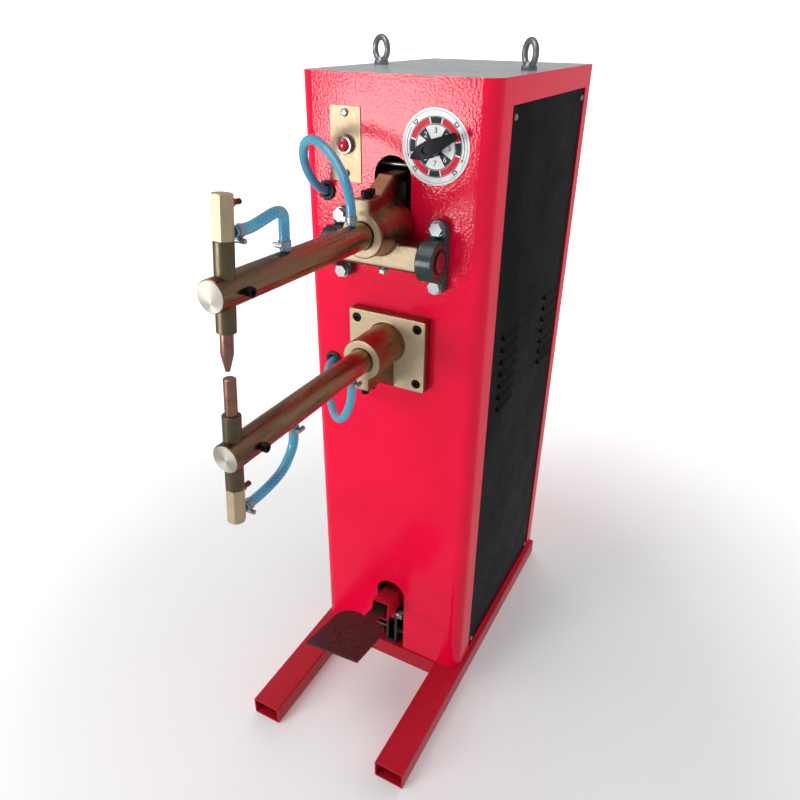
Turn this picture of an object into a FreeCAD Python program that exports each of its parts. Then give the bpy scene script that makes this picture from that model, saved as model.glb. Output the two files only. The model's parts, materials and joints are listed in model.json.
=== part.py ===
"""Foot-operated spot welder: sheet-steel cabinet on a welded base, fixed lower arm,
rocking upper arm on two pillow blocks, pedal, push rod, transformer and water hoses.

Frame: +Z up, floor at z = 0, cabinet front face at y = 0, arms reach towards -Y,
+X is the operator's right.  Everything on the rocker is drawn with the electrodes
closed and then swung open about the pivot, which is the rest pose.
"""
import FreeCAD, Part
import math
import os

V = FreeCAD.Vector

# ---------------------------------------------------------------- cabinet and base
CABINET_WIDTH = 330.0
CABINET_DEPTH = 480.0
CABINET_TOP = 1195.0
CORNER_R = 25.0
SHEET = 2.0
SHELL_RETURN = 58.0
RAIL_W = 60.0
RAIL_H = 40.0
RAIL_WALL = 3.0
RAIL_OUTER_X = 173.0
RAIL_FRONT_Y = -262.0
RAIL_REAR_Y = 488.0
CROSSBAR_PROUD = 3.0
CROSSBAR_DEPTH = 40.0
POST_REAR = 29.0
PANEL_TOP_Z = 1157.0
PANEL_BOTTOM_Z = 48.0
PANEL_RECESS = 2.0
PANEL_GAP = 1.5
LOUVRE_LENGTH = 76.0
LOUVRE_PITCH = 24.0
LOUVRE_COUNT = 7
LOUVRE_TOP_Z = 784.0
LOUVRE_COLUMNS_Y = (150.0, 384.0)
SLOT_HALF = 32.0
UPPER_SLOT_BOTTOM = 965.0
UPPER_SLOT_TOP = 1084.0
PEDAL_SLOT_TOP = 222.0
EYEBOLT_X = 134.0
EYEBOLT_Y = 205.0
GLAND_X = 95.0
GLAND_Z = 150.0
EARTH_X = 30.0
CENTRE_X = 2.0
STOP_ROD_Y = 31.0
STOP_ROD_Z = 1066.0

# ---------------------------------------------------------------- rocker and arms
PIVOT_Y = -33.3
PIVOT_Z = 942.0
OPEN_ANGLE = 1.56
SHAFT_R = 12.0
FIT = 0.05
GAP = 0.3
ARM_R = 20.0
UPPER_ARM_Z = 982.0
UPPER_ARM_FRONT = -418.0
UPPER_ARM_REAR = -8.0
LOWER_ARM_Z = 784.0
LOWER_ARM_FRONT = -427.0
LOWER_ARM_REAR = -4.0
BARREL_R = 34.5
UPPER_RING_Y = -96.0
LOBE_R = 42.0
CONE_FRONT = -80.0
LOBE_FRONT = -30.0
LOBE_REAR = -5.0
LUG_HALF = 13.5
LUG_TOP = 1060.0
LUG_REAR = 45.0
BOSS_TOP = 1035.0
BOSS_REAR = -62.0
BAR_HALF = 69.5
BAR_FRONT = -50.0
BAR_REAR = -7.0
BAR_BOTTOM = 922.0
BAR_TOP = 964.0
BLOCK_X = 86.0
BLOCK_BARREL_R = 31.7
BLOCK_BOLT_HALF = 46.0
FLANGE_HALF_X = 73.5
FLANGE_BOTTOM = 702.0
FLANGE_TOP = 834.0
FLANGE_THICK = 20.0
LOWER_RING_Y = -102.0
LOWER_FOOT_Z = 730.0
UPPER_SCREW_Y = (-84.0, -69.0)
LOWER_SCREW_Y = (-91.0, -70.0)
LOCK_BOLT_Y = -28.5
LEVER_BOLTS = ((13.0, 1013.0), (36.0, 1030.0))
LEVER_PLATE = 6.0

# ---------------------------------------------------------------- electrodes
ELECTRODE_Y = -402.0
MEET_Z = 886.0
HOLDER_R = 12.0
HOLDER_HALF = 53.0
UPPER_HOLDER_Z = UPPER_ARM_Z + 5.0
HEAD_ACROSS_FLATS = 22.0
HEAD_LENGTH = 50.0
TIP_R = 8.0
TIP_POINT_R = 3.0
TIP_CONE = 22.0
NOZZLE_STEP = 11.0
NOZZLE_SPACING = 32.0
NOZZLE_TURN = 90.0
PINCH_Y = -380.5
PINCH_SCREW_LENGTH = 13.0
LEAN = 4.3
LEAN_AXIS = (1.0, -0.25, 0.0)

# ---------------------------------------------------------------- hoses and barbs
HOSE_R = 7.0
HOSE_BORE_R = 4.0
BARB_LENGTH = 17.0
BARB_R = 3.9
BARB_BASE_R = 5.2
BARB_BASE = 5.0
ARC_SHARE = 0.45
GROMMET_X = -119.0
UPPER_GROMMET_Z = 1019.5
LOWER_GROMMET_Z = 716.0
GROMMET_R = 16.0
GROMMET_BORE_R = 9.0
UPPER_FRONT_BARB_Y = -279.5
UPPER_REAR_BARB_Y = -122.0
LOWER_FRONT_BARB_Y = -288.0
LOWER_REAR_BARB_Y = -131.0
REAR_BARB_UPPER_Z = 980.0
REAR_BARB_LOWER_Z = 684.0
CLAMP_AT = 13.0
OPEN_BARB_LENGTH = 12.0
FIRST_RUN = 24.0
LOOSE_BORE_R = 5.2
LOOSE_GAP = 1.6

# ---------------------------------------------------------------- controls
DIAL_X = 73.0
DIAL_Z = 1101.0
DIAL_R = 54.0
KNOB_REST_TURN = 27.0
KNOB_HEIGHT = 37.0
LAMP_X = -79.5
LAMP_Z = 1093.0
LAMP_PLATE_W = 54.0
LAMP_PLATE_H = 111.0
LAMP_PLATE_X = -80.6
LAMP_SCREWS = (-43.0, 46.0)

# ---------------------------------------------------------------- pedal and push rod
ROD_Y = 100.0
PEDAL_PIVOT_Y = 18.0
PEDAL_PIVOT_Z = 118.0
PEDAL_PITCH = 11.5
PEDAL_TUBE = 40.0
PEDAL_WALL = 3.0
PEDAL_END_Y = -47.0
PEDAL_END_Z = 183.4
PEDAL_REAR_Y = 68.0
PEDAL_PIN_R = 6.0
ROD_R = 8.0
ROD_PIN_R = 5.0
ROD_PIN_LOW_Z = 122.0
ROD_SOCKET_TOP = 300.0
PRESSURE_SPRING_TOP = 380.0
RETURN_SPRING_BOTTOM = 440.0
GUIDE_Z = 516.0
ROD_EYE_Z = PIVOT_Z - (ROD_Y - PIVOT_Y) * math.sin(math.radians(OPEN_ANGLE))
TREAD_WIDTH = 108.0
TREAD_LENGTH = 118.0
TREAD_OFFSET_X = -9.0
TREAD_LEFT_EXTRA = 14.6
TREAD_RIGHT_EXTRA = 6.0
SWITCH_X = 45.0

# ---------------------------------------------------------------- transformer
CORE_Y = (190.0, 310.0)
CORE_Z = (560.0, 760.0)
CORE_HALF = 95.0
LEG_HALF = 35.0
WINDOW_OUT = 72.0

HALF = CABINET_WIDTH / 2.0
PIVOT = V(0, PIVOT_Y, PIVOT_Z)
MEET = V(0, ELECTRODE_Y, MEET_Z)
X_AXIS = V(1, 0, 0)
Y_AXIS = V(0, 1, 0)
Z_AXIS = V(0, 0, 1)


# ================================================================ small helpers
def box(x, y, z):
    """Box between the two values of each pair."""
    size = (x[1] - x[0], y[1] - y[0], z[1] - z[0])
    return Part.makeBox(size[0], size[1], size[2], V(x[0], y[0], z[0]))


def rod(start, axis, radius, length):
    """Round bar from start along axis."""
    return Part.makeCylinder(radius, length, start, axis)


def pipe(start, axis, outer, inner, length):
    """Round tube from start along axis."""
    return rod(start, axis, outer, length).cut(rod(start, axis, inner, length))


def prism_x(points, x0, x1):
    """Extrusion along X of a closed outline given as (y, z) pairs."""
    wire = Part.makePolygon([V(x0, y, z) for y, z in points + points[:1]])
    return Part.Face(wire).extrude(V(x1 - x0, 0, 0))


def prism_z(points, z0, z1):
    """Extrusion along Z of a closed outline given as (x, y) pairs."""
    wire = Part.makePolygon([V(x, y, z0) for x, y in points + points[:1]])
    return Part.Face(wire).extrude(V(0, 0, z1 - z0))


def hexagon(centre, axis, across_flats, length, turn=0.0):
    """Hexagonal bar from centre along axis."""
    corner = across_flats / math.sqrt(3.0)
    ring = [V(corner * math.cos(math.radians(a + turn)), corner * math.sin(math.radians(a + turn)), 0)
            for a in range(0, 420, 60)]
    solid = Part.Face(Part.makePolygon(ring)).extrude(V(0, 0, length))
    solid.Placement = FreeCAD.Placement(centre, FreeCAD.Rotation(Z_AXIS, axis))
    return solid


def union(shapes):
    """One solid from overlapping shapes."""
    return shapes[0].multiFuse(shapes[1:]).removeSplitter()


def mirrored(shape):
    """Copy on the other side of the machine."""
    return shape.mirror(V(0, 0, 0), X_AXIS)


def swung_open(shape, share=1.0):
    """Shape drawn with the electrodes closed, moved to the open rest pose or part of the way."""
    moved = shape.copy()
    moved.rotate(PIVOT, X_AXIS, -OPEN_ANGLE * share)
    return moved


def leaned(shape):
    """Electrode piece drawn upright, tilted about the point where the tips meet."""
    moved = shape.copy()
    moved.rotate(MEET, V(*LEAN_AXIS), -LEAN)
    return moved


def leaned_vector(vector):
    """Direction turned like the electrodes."""
    return FreeCAD.Rotation(V(*LEAN_AXIS), -LEAN).multVec(vector)


def leaned_point(point):
    """Point moved like the electrodes."""
    return MEET + leaned_vector(point - MEET)


def centred(shapes):
    """Mechanism pieces, drawn about x = 0, moved to the mechanism's own middle plane."""
    solids = shapes if isinstance(shapes, list) else [shapes]
    moved = [solid.copy() for solid in solids]
    for solid in moved:
        solid.translate(V(CENTRE_X, 0, 0))
    return moved


def fillet_where(shape, radius, keep):
    """Round every edge that keep() accepts."""
    edges = [edge for edge in shape.Edges if keep(edge)]
    return shape.makeFillet(radius, edges)


def along(edge, axis):
    """True for a straight edge parallel to axis."""
    if edge.Curve.TypeId != "Part::GeomLine":
        return False
    return abs(abs(edge.Curve.Direction.dot(axis)) - 1.0) < 1e-6


def export(name, shapes):
    """Write one node; a list becomes a group of separate solids."""
    solids = shapes if isinstance(shapes, list) else [shapes]
    parts = [solid for shape in solids for solid in shape.Solids]
    for part in parts:
        if not part.isValid():
            print("INVALID", name)
    shape = parts[0] if len(parts) == 1 else Part.makeCompound(parts)
    shape.exportStep("parts/" + name + ".step")
    print(name, len(parts), round(shape.Volume / 1000.0, 1), "cm3")


# ================================================================ fasteners
def cap_screw(seat, axis, size, length, head_proud=True):
    """Socket head cap screw: seat is under the head, axis points out of the head."""
    head_r = 0.75 * size + 0.5
    shank = rod(seat - axis * length, axis, size / 2.0, length)
    head = rod(seat, axis, head_r, size)
    head = fillet_where(head, 0.1 * size, lambda e: e.Length > 1.0 and not along(e, axis))
    socket = hexagon(seat + axis * (0.45 * size), axis, 0.75 * size, size)
    return head.fuse(shank).removeSplitter().cut(socket)


def hex_bolt(seat, axis, size, length, nut_at=None, turn=0.0):
    """Hex bolt with a washer under its head and, if asked, a washered nut on its far end."""
    flats = 1.55 * size
    head_height = 0.64 * size
    washer = 0.2 * size
    shapes = [rod(seat, axis, size, washer)]
    shapes.append(hexagon(seat + axis * washer, axis, flats, head_height, turn))
    shapes.append(rod(seat - axis * length, axis, size / 2.0, length + washer))
    if nut_at is not None:
        shapes.append(rod(seat - axis * (nut_at + washer), axis, size, washer))
        shapes.append(hexagon(seat - axis * (nut_at + washer + 0.8 * size), axis, flats, 0.8 * size, turn))
    return union(shapes)


def pan_screw(seat, axis, radius, length):
    """Domed screw with a cross recess."""
    height = 0.62 * radius
    dome = rod(seat, axis, radius, height)
    dome = fillet_where(dome, 0.8 * height, lambda e: abs((e.CenterOfMass - seat).dot(axis) - height) < 1e-6)
    side = axis.cross(Z_AXIS)
    cross = []
    for direction in (side, Z_AXIS):
        arm = rod(seat + axis * (0.45 * height) - direction * (0.5 * radius), direction, 0.16 * radius, radius)
        cross.append(arm)
    shank = rod(seat - axis * length, axis, 0.5 * radius, length)
    return dome.fuse(shank).removeSplitter().cut(union(cross))


# ================================================================ base
def base_rails():
    """Two rectangular tubes that run the whole depth and reach forward as feet."""
    inner_x = RAIL_OUTER_X - RAIL_W
    outer = box((inner_x, RAIL_OUTER_X), (RAIL_FRONT_Y, RAIL_REAR_Y), (0, RAIL_H))
    outer = fillet_where(outer, 3.0, lambda e: along(e, Y_AXIS))
    hollow = box((inner_x + RAIL_WALL, RAIL_OUTER_X - RAIL_WALL), (RAIL_FRONT_Y - 1, RAIL_REAR_Y + 1),
                 (RAIL_WALL, RAIL_H - RAIL_WALL))
    rail = outer.cut(hollow)
    return [rail, mirrored(rail)]


def base_crossbars():
    """Square tubes welded between the rails, front and rear."""
    half = RAIL_OUTER_X - RAIL_W
    bars = []
    for y0 in (-CROSSBAR_PROUD, RAIL_REAR_Y - CROSSBAR_DEPTH):
        outer = box((-half, half), (y0, y0 + CROSSBAR_DEPTH), (0, RAIL_H))
        inner = box((-half - 1, half + 1), (y0 + RAIL_WALL, y0 + CROSSBAR_DEPTH - RAIL_WALL),
                    (RAIL_WALL, RAIL_H - RAIL_WALL))
        bars.append(outer.cut(inner))
    return bars


# ================================================================ cabinet
def rounded_plan(half, front, depth, radius, z0, z1):
    """Block with its two front vertical corners rounded."""
    block = box((-half, half), (front, depth), (z0, z1))
    return fillet_where(block, radius, lambda e: along(e, Z_AXIS) and e.CenterOfMass.y < front + 1.0)


def arched_cutter(bottom, top, y0, y1):
    """Tool for a slot with a half-round top."""
    slot = box((-SLOT_HALF, SLOT_HALF), (y0, y1), (bottom, top - SLOT_HALF))
    arch = rod(V(0, y0, top - SLOT_HALF), Y_AXIS, SLOT_HALF, y1 - y0)
    return slot.fuse(arch).removeSplitter()


def front_shell():
    """Folded front sheet with both rounded corners and its short side returns."""
    z0 = RAIL_H
    z1 = CABINET_TOP - SHEET
    outer = rounded_plan(HALF, 0.0, SHELL_RETURN, CORNER_R, z0, z1)
    inner = rounded_plan(HALF - SHEET, SHEET, SHELL_RETURN + 1, CORNER_R - SHEET, z0 - 1, z1 + 1)
    shell = outer.cut(inner)
    tools = [rod(V(GROMMET_X, -1, UPPER_GROMMET_Z), Y_AXIS, GROMMET_R - 3.0, SHEET + 2)]
    tools.append(rod(V(GROMMET_X, -1, LOWER_GROMMET_Z), Y_AXIS, GROMMET_R - 3.0, SHEET + 2))
    tools.append(rod(V(LAMP_X, -1, LAMP_Z), Y_AXIS, 11.2, SHEET + 2))
    tools.append(rod(V(DIAL_X, -1, DIAL_Z), Y_AXIS, 9.0, SHEET + 2))
    for z in LAMP_SCREWS:
        tools.append(rod(V(LAMP_PLATE_X, -1, LAMP_Z + z), Y_AXIS, 3.1, SHEET + 2))
    holes = [arched_cutter(UPPER_SLOT_BOTTOM, UPPER_SLOT_TOP, -1, SHEET + 1)]
    holes.append(arched_cutter(RAIL_H - 1, PEDAL_SLOT_TOP, -1, SHEET + 1))
    holes.append(box((-45, 45), (-1, SHEET + 1), (735, 801)))
    for x in (-BLOCK_X, BLOCK_X):
        for z in (-BLOCK_BOLT_HALF, BLOCK_BOLT_HALF):
            holes.append(rod(V(x, -1, PIVOT_Z + z), Y_AXIS, 6.2, SHEET + 2))
    for x, z in flange_screw_places():
        holes.append(rod(V(x, -1, z), Y_AXIS, 4.2, SHEET + 2))
    return shell.cut(tools + centred(holes))


def stop_rod():
    """Plated cross rod behind the slot that stops the rocker's lug, welded into two tabs."""
    bar = rod(V(-62, STOP_ROD_Y, STOP_ROD_Z), X_AXIS, 3.0, 124.0)
    tab_z = (STOP_ROD_Z - 8.0, STOP_ROD_Z + 3.5)
    tabs = [box((x, x + 4.0), (SHEET, STOP_ROD_Y + 8.0), tab_z) for x in (-58.0, 54.0)]
    return union([bar] + tabs)


def side_frame():
    """Right side sheet: a border with a stepped, recessed seat for the side panel."""
    y0 = SHELL_RETURN + 0.5
    y1 = CABINET_DEPTH - SHEET
    z0 = RAIL_H
    z1 = CABINET_TOP - SHEET
    hole_y = (y0 + SHEET, CABINET_DEPTH - POST_REAR)
    hole_z = (PANEL_BOTTOM_Z, PANEL_TOP_Z)
    seat_x = HALF - PANEL_RECESS - 2 * SHEET
    lip = 22.0
    outer = box((seat_x, HALF), (y0, y1), (z0, z1))
    window = box((seat_x + SHEET, HALF + 1), hole_y, hole_z)
    through = box((seat_x - 1, HALF + 1), (hole_y[0] + lip, hole_y[1] - lip), (hole_z[0] + lip, hole_z[1] - lip))
    behind_post = box((seat_x - 1, HALF - SHEET), (hole_y[1] + SHEET, y1 + 1), (z0 - 1, z1 + 1))
    behind_top = box((seat_x - 1, HALF - SHEET), (y0 - 1, y1 + 1), (hole_z[1] + SHEET, z1 + 1))
    frame = outer.cut([window, through, behind_post, behind_top])
    holes = []
    for y, z in panel_screw_places():
        holes.append(rod(V(seat_x - 1, y, z), X_AXIS, 2.6, SHEET + 2))
    return frame.cut(holes)


def panel_screw_places():
    """Side panel screws, near the four corners."""
    inset = 17.0
    y = (SHELL_RETURN + SHEET + inset, CABINET_DEPTH - POST_REAR - inset)
    z = (PANEL_BOTTOM_Z + inset, PANEL_TOP_Z - inset)
    return [(a, b) for a in y for b in z]


def louvre(y, z, x):
    """Pressed hood and the slot under it, as a pair (add, cut)."""
    half = LOUVRE_LENGTH / 2.0
    rise = 4.0
    drop = 13.0
    skin = 1.0
    outer = [(x, z), (x + rise, z - drop), (x, z - drop)]
    inner = [(x - 1.5, z - skin), (x + rise - skin, z - drop), (x + rise - skin, z - drop - 1),
             (x - 1.5, z - drop - 1)]

    def solid(points, y0, y1):
        wire = Part.makePolygon([V(a, y0, b) for a, b in points + points[:1]])
        return Part.Face(wire).extrude(V(0, y1 - y0, 0))

    hood = solid(outer, y - half, y + half)
    space = solid(inner, y - half + skin, y + half - skin)
    slot = box((x - SHEET, x + 0.01), (y - half + skin, y + half - skin), (z - drop, z - 4.0))
    return hood.cut(space), slot


def side_panel():
    """Right side panel with two columns of louvres."""
    x1 = HALF - PANEL_RECESS
    x0 = x1 - SHEET
    y = (SHELL_RETURN + SHEET + 0.5 + PANEL_GAP, CABINET_DEPTH - POST_REAR - PANEL_GAP)
    z = (PANEL_BOTTOM_Z + PANEL_GAP, PANEL_TOP_Z - PANEL_GAP)
    panel = box((x0, x1), y, z)
    hoods = []
    slots = []
    for column in LOUVRE_COLUMNS_Y:
        for row in range(LOUVRE_COUNT):
            hood, slot = louvre(column, LOUVRE_TOP_Z - row * LOUVRE_PITCH, x1)
            hoods.append(hood)
            slots.append(slot)
    for sy, sz in panel_screw_places():
        slots.append(rod(V(x0 - 1, sy, sz), X_AXIS, 2.6, SHEET + 2))
    return union([panel.cut(slots)] + hoods)


def back_panel():
    """Flat rear sheet with plain ventilation slots and holes for the rear fittings."""
    y0 = CABINET_DEPTH - SHEET
    panel = box((-HALF, HALF), (y0, CABINET_DEPTH), (RAIL_H, CABINET_TOP - SHEET))
    tools = []
    for column in (-48.0, 48.0):
        for row in range(8):
            z = 1080.0 - row * 22.0
            slot = box((column - 34, column + 34), (y0 - 1, CABINET_DEPTH + 1), (z, z + 6))
            tools.append(slot)
    for z in (REAR_BARB_UPPER_Z, REAR_BARB_LOWER_Z):
        tools.append(rod(V(GROMMET_X, y0 - 1, z), Y_AXIS, 6.6, SHEET + 2))
    tools.append(rod(V(GLAND_X, y0 - 1, GLAND_Z), Y_AXIS, 12.6, SHEET + 2))
    tools.append(rod(V(EARTH_X, y0 - 1, GLAND_Z), Y_AXIS, 4.2, SHEET + 2))
    return panel.cut(tools)


def top_cover():
    """Lid sheet with the same plan as the cabinet and two eyebolt holes."""
    cover = rounded_plan(HALF, 0.0, CABINET_DEPTH, CORNER_R, CABINET_TOP - SHEET, CABINET_TOP)
    holes = [rod(V(x, EYEBOLT_Y, CABINET_TOP - SHEET - 1), Z_AXIS, 5.2, SHEET + 2)
             for x in (-EYEBOLT_X, EYEBOLT_X)]
    return cover.cut(holes)


def eyebolt(x, turn):
    """Forged lifting eye with collar, shank and nut under the lid."""
    ring_r = 18.0
    bar_r = 5.0
    collar = pipe_free_disc(x, CABINET_TOP, 12.5, 7.0)
    neck = Part.makeCone(9.5, 6.0, 6.0, V(x, EYEBOLT_Y, CABINET_TOP + 6.0), Z_AXIS)
    centre = V(x, EYEBOLT_Y, CABINET_TOP + 47.0 - ring_r - bar_r)
    torus = Part.makeTorus(ring_r, bar_r, centre, Y_AXIS)
    torus.rotate(centre, Z_AXIS, turn)
    shank = rod(V(x, EYEBOLT_Y, CABINET_TOP - 18.0), Z_AXIS, 5.0, 19.0)
    nut = hexagon(V(x, EYEBOLT_Y, CABINET_TOP - SHEET - 8.5), Z_AXIS, 16.0, 8.4)
    return union([collar, neck, torus, shank, nut])


def pipe_free_disc(x, z, radius, height):
    """Disc on the lid with a rounded rim."""
    disc = rod(V(x, EYEBOLT_Y, z), Z_AXIS, radius, height)
    return fillet_where(disc, 2.5, lambda e: abs(e.CenterOfMass.z - z - height) < 1e-6 and not along(e, Z_AXIS))


def cabinet_screws():
    """Panel screws on both sides and the two screws of the lamp plate."""
    screws = []
    seat_x = HALF - PANEL_RECESS
    for y, z in panel_screw_places():
        screw = pan_screw(V(seat_x, y, z), X_AXIS, 5.0, 8.0)
        screws += [screw, mirrored(screw)]
    for z in LAMP_SCREWS:
        screws.append(pan_screw(V(LAMP_PLATE_X, -1.5, LAMP_Z + z), V(0, -1, 0), 6.0, 8.0))
    return screws


# ================================================================ front controls
def lamp_plate():
    """Blank brass-coloured plate behind the pilot lamp."""
    half_w = LAMP_PLATE_W / 2.0
    half_h = LAMP_PLATE_H / 2.0
    plate = box((LAMP_PLATE_X - half_w, LAMP_PLATE_X + half_w), (-1.5, 0), (LAMP_Z - half_h, LAMP_Z + half_h))
    plate = fillet_where(plate, 2.0, lambda e: along(e, Y_AXIS))
    tools = [rod(V(LAMP_X, -2, LAMP_Z), Y_AXIS, 11.1, 3)]
    for z in LAMP_SCREWS:
        tools.append(rod(V(LAMP_PLATE_X, -2, LAMP_Z + z), Y_AXIS, 3.1, 3))
    return plate.cut(tools)


def lamp_holder():
    """Chrome bezel and threaded lamp body behind the face."""
    bezel = pipe(V(LAMP_X, -9.5, LAMP_Z), Y_AXIS, 13.5, 9.2, 8.0)
    bezel = fillet_where(bezel, 1.2, lambda e: abs(e.CenterOfMass.y + 9.5) < 1e-6 and not along(e, Y_AXIS))
    body = rod(V(LAMP_X, -1.6, LAMP_Z), Y_AXIS, 11.0, 42.0)
    nut = hexagon(V(LAMP_X, SHEET, LAMP_Z), Y_AXIS, 27.0, 5.0)
    terminal = box((LAMP_X - 6, LAMP_X + 6), (40, 50), (LAMP_Z - 4, LAMP_Z + 4))
    return union([bezel, body, nut, terminal])


def lamp_lens():
    """Domed jewel seated in the bezel."""
    skirt = rod(V(LAMP_X, -11.0, LAMP_Z), Y_AXIS, 9.1, 9.3)
    dome = Part.makeSphere(12.0, V(LAMP_X, -11.0 + 7.8, LAMP_Z))
    cap = dome.common(rod(V(LAMP_X, -18.0, LAMP_Z), Y_AXIS, 9.1, 8.0))
    return union([skirt, cap])


def dial_plate():
    """Round scale plate of the tap switch."""
    disc = rod(V(DIAL_X, -1.5, DIAL_Z), Y_AXIS, DIAL_R, 1.5)
    return disc.cut(rod(V(DIAL_X, -2, DIAL_Z), Y_AXIS, 9.0, 3))


def tap_switch():
    """Eight-step switch behind the face: stacked wafers, tie posts and bushing."""
    wafers = []
    for index in range(4):
        y = 12.0 + index * 18.0
        wafer = box((DIAL_X - 31, DIAL_X + 31), (y, y + 10), (DIAL_Z - 31, DIAL_Z + 31))
        wafers.append(fillet_where(wafer, 9.0, lambda e: along(e, Y_AXIS)))
    posts = []
    for dx in (-22.0, 22.0):
        for dz in (-22.0, 22.0):
            posts.append(rod(V(DIAL_X + dx, SHEET, DIAL_Z + dz), Y_AXIS, 3.5, 74.0))
    core = pipe(V(DIAL_X, SHEET, DIAL_Z), Y_AXIS, 14.0, 5.0 + FIT, 74.0)
    bore = rod(V(DIAL_X, 0, DIAL_Z), Y_AXIS, 5.0 + FIT, 90.0)
    return union(wafers + posts + [core]).cut(bore)


def tap_knob():
    """Pointer handle with a long sloping grip, a short pointed tail, its hub and spindle."""
    grip = 48.0
    grip_half = 5.0
    tail = 28.0
    widest = 11.0
    thick = 13.0
    side = [(grip, grip_half), (8.0, widest), (-9.0, widest - 0.6), (-tail, 1.2)]
    outline = side + [(a, -b) for a, b in reversed(side)]
    body = Part.Face(Part.makePolygon([V(a, b, 0) for a, b in outline + outline[:1]])).extrude(V(0, 0, thick))
    body = fillet_where(body, 2.5, lambda e: along(e, Z_AXIS) and e.CenterOfMass.x > -20.0)
    profile = [(-tail - 1, 0.0), (grip + 1, 0.0), (grip + 1, 5.5), (13.0, thick), (-12.0, thick), (-tail - 1, 8.0)]
    wire = Part.makePolygon([V(a, -20, b) for a, b in profile + profile[:1]])
    body = body.common(Part.Face(wire).extrude(V(0, 40, 0)))
    below = KNOB_HEIGHT - thick
    hub = rod(V(0, 0, 3.0 - below), Z_AXIS, 12.5, below - 3.0)
    spindle = rod(V(0, 0, -below - 72.0), Z_AXIS, 5.0, 76.0)
    recess = rod(V(0, 0, thick - 5.0), Z_AXIS, 5.0, 6.0)
    screw = rod(V(0, 0, thick - 5.0), Z_AXIS, 4.0, 2.5)
    knob = union([union([body, hub, spindle]).cut(recess), screw])
    knob.rotate(V(0, 0, 0), X_AXIS, 90.0)
    knob.rotate(V(0, 0, 0), Y_AXIS, -KNOB_REST_TURN)
    knob.translate(V(DIAL_X, -below, DIAL_Z))
    return knob


# ================================================================ pivot
def pillow_block():
    """Cast bearing housing for the right-hand end of the shaft."""
    half_base = 15.0
    half_length = 56.0
    base_thick = 14.0
    base = box((-half_base, half_base), (-base_thick, 0), (-half_length, half_length))
    base = fillet_where(base, 9.0, lambda e: along(e, Y_AXIS))
    barrel = rod(V(-14, PIVOT_Y, 0), X_AXIS, BLOCK_BARREL_R, 28.0)
    web = box((-11, 11), (PIVOT_Y, -base_thick + 1), (-BLOCK_BARREL_R + 1, BLOCK_BARREL_R - 1))
    bore = rod(V(-20, PIVOT_Y, 0), X_AXIS, 23.5, 40.0)
    block = union([base, barrel, web])
    face_cut = box((-40, 40), (0, 20), (-80, 80))
    block = block.cut([bore, face_cut])
    for z in (-BLOCK_BOLT_HALF, BLOCK_BOLT_HALF):
        block = block.cut(rod(V(0, -base_thick - 1, z), Y_AXIS, 6.2, base_thick + 2))
    block.translate(V(BLOCK_X, 0, PIVOT_Z))
    return block


def bearing_insert():
    """Ball bearing insert with its sealed side rings."""
    outer = pipe(V(BLOCK_X - 13.0, PIVOT_Y, PIVOT_Z), X_AXIS, 23.5, SHAFT_R + FIT, 26.0)
    ring = pipe(V(BLOCK_X - 15.5, PIVOT_Y, PIVOT_Z), X_AXIS, 17.0, SHAFT_R + FIT, 31.0)
    return union([outer, ring])


def pillow_bolts():
    """Hex bolts that hold the two pillow blocks on the face."""
    bolts = []
    turn = 12.0
    for x in (-BLOCK_X, BLOCK_X):
        for z in (-BLOCK_BOLT_HALF, BLOCK_BOLT_HALF):
            seat = V(x, -14.0, PIVOT_Z + z)
            bolts.append(hex_bolt(seat, V(0, -1, 0), 12.0, 30.0, 14.0 + SHEET, turn))
            turn += 17.0
    return bolts


def rocker_casting():
    """Cast rocker: arm barrel, rear lobe, screw boss, lug through the slot and pivot bar."""
    barrel = rod(V(0, UPPER_RING_Y, UPPER_ARM_Z), Y_AXIS, BARREL_R, LOBE_REAR - UPPER_RING_Y)
    cone = Part.makeCone(BARREL_R, LOBE_R, LOBE_FRONT - CONE_FRONT, V(0, CONE_FRONT, UPPER_ARM_Z), Y_AXIS)
    lobe = rod(V(0, LOBE_FRONT, UPPER_ARM_Z), Y_AXIS, LOBE_R, LOBE_REAR - LOBE_FRONT)
    lobe = fillet_where(lobe, 5.0, lambda e: abs(e.CenterOfMass.y - LOBE_REAR) < 1e-6 and not along(e, Y_AXIS))
    profile = [(UPPER_RING_Y, UPPER_ARM_Z), (UPPER_RING_Y, BOSS_TOP), (BOSS_REAR, BOSS_TOP),
               (-25.0, LUG_TOP), (LUG_REAR, LUG_TOP), (LUG_REAR, 1005.0), (30.0, 992.0),
               (LOBE_REAR, 992.0), (LOBE_REAR, UPPER_ARM_Z)]
    lug = prism_x(profile, -LUG_HALF, LUG_HALF)
    lug = fillet_where(lug, 1.5, lambda e: not along(e, X_AXIS) and e.CenterOfMass.z > BOSS_TOP - 30.0)
    bar = box((-BAR_HALF, BAR_HALF), (BAR_FRONT, BAR_REAR), (BAR_BOTTOM, BAR_TOP))
    bar = fillet_where(bar, 7.0, lambda e: along(e, X_AXIS) and e.CenterOfMass.z < PIVOT_Z)
    body = union([barrel, cone, lobe, lug, bar])
    tools = [rod(V(0, UPPER_RING_Y - 1, UPPER_ARM_Z), Y_AXIS, ARM_R + FIT, UPPER_ARM_REAR - UPPER_RING_Y + 2)]
    tools.append(rod(V(-BAR_HALF - 1, PIVOT_Y, PIVOT_Z), X_AXIS, SHAFT_R, 2 * BAR_HALF + 2))
    for y in UPPER_SCREW_Y:
        tools.append(rod(V(0, y, UPPER_ARM_Z + ARM_R - 1), Z_AXIS, 4.0, 60.0))
    tools.append(rod(V(0, LOCK_BOLT_Y, BAR_BOTTOM - 1), Z_AXIS, 4.0 + FIT, 12.0))
    for y, z in LEVER_BOLTS:
        tools.append(rod(V(-LUG_HALF - 1, y, z), X_AXIS, 4.0, 2 * LUG_HALF + 2))
    return body.cut(tools)


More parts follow.
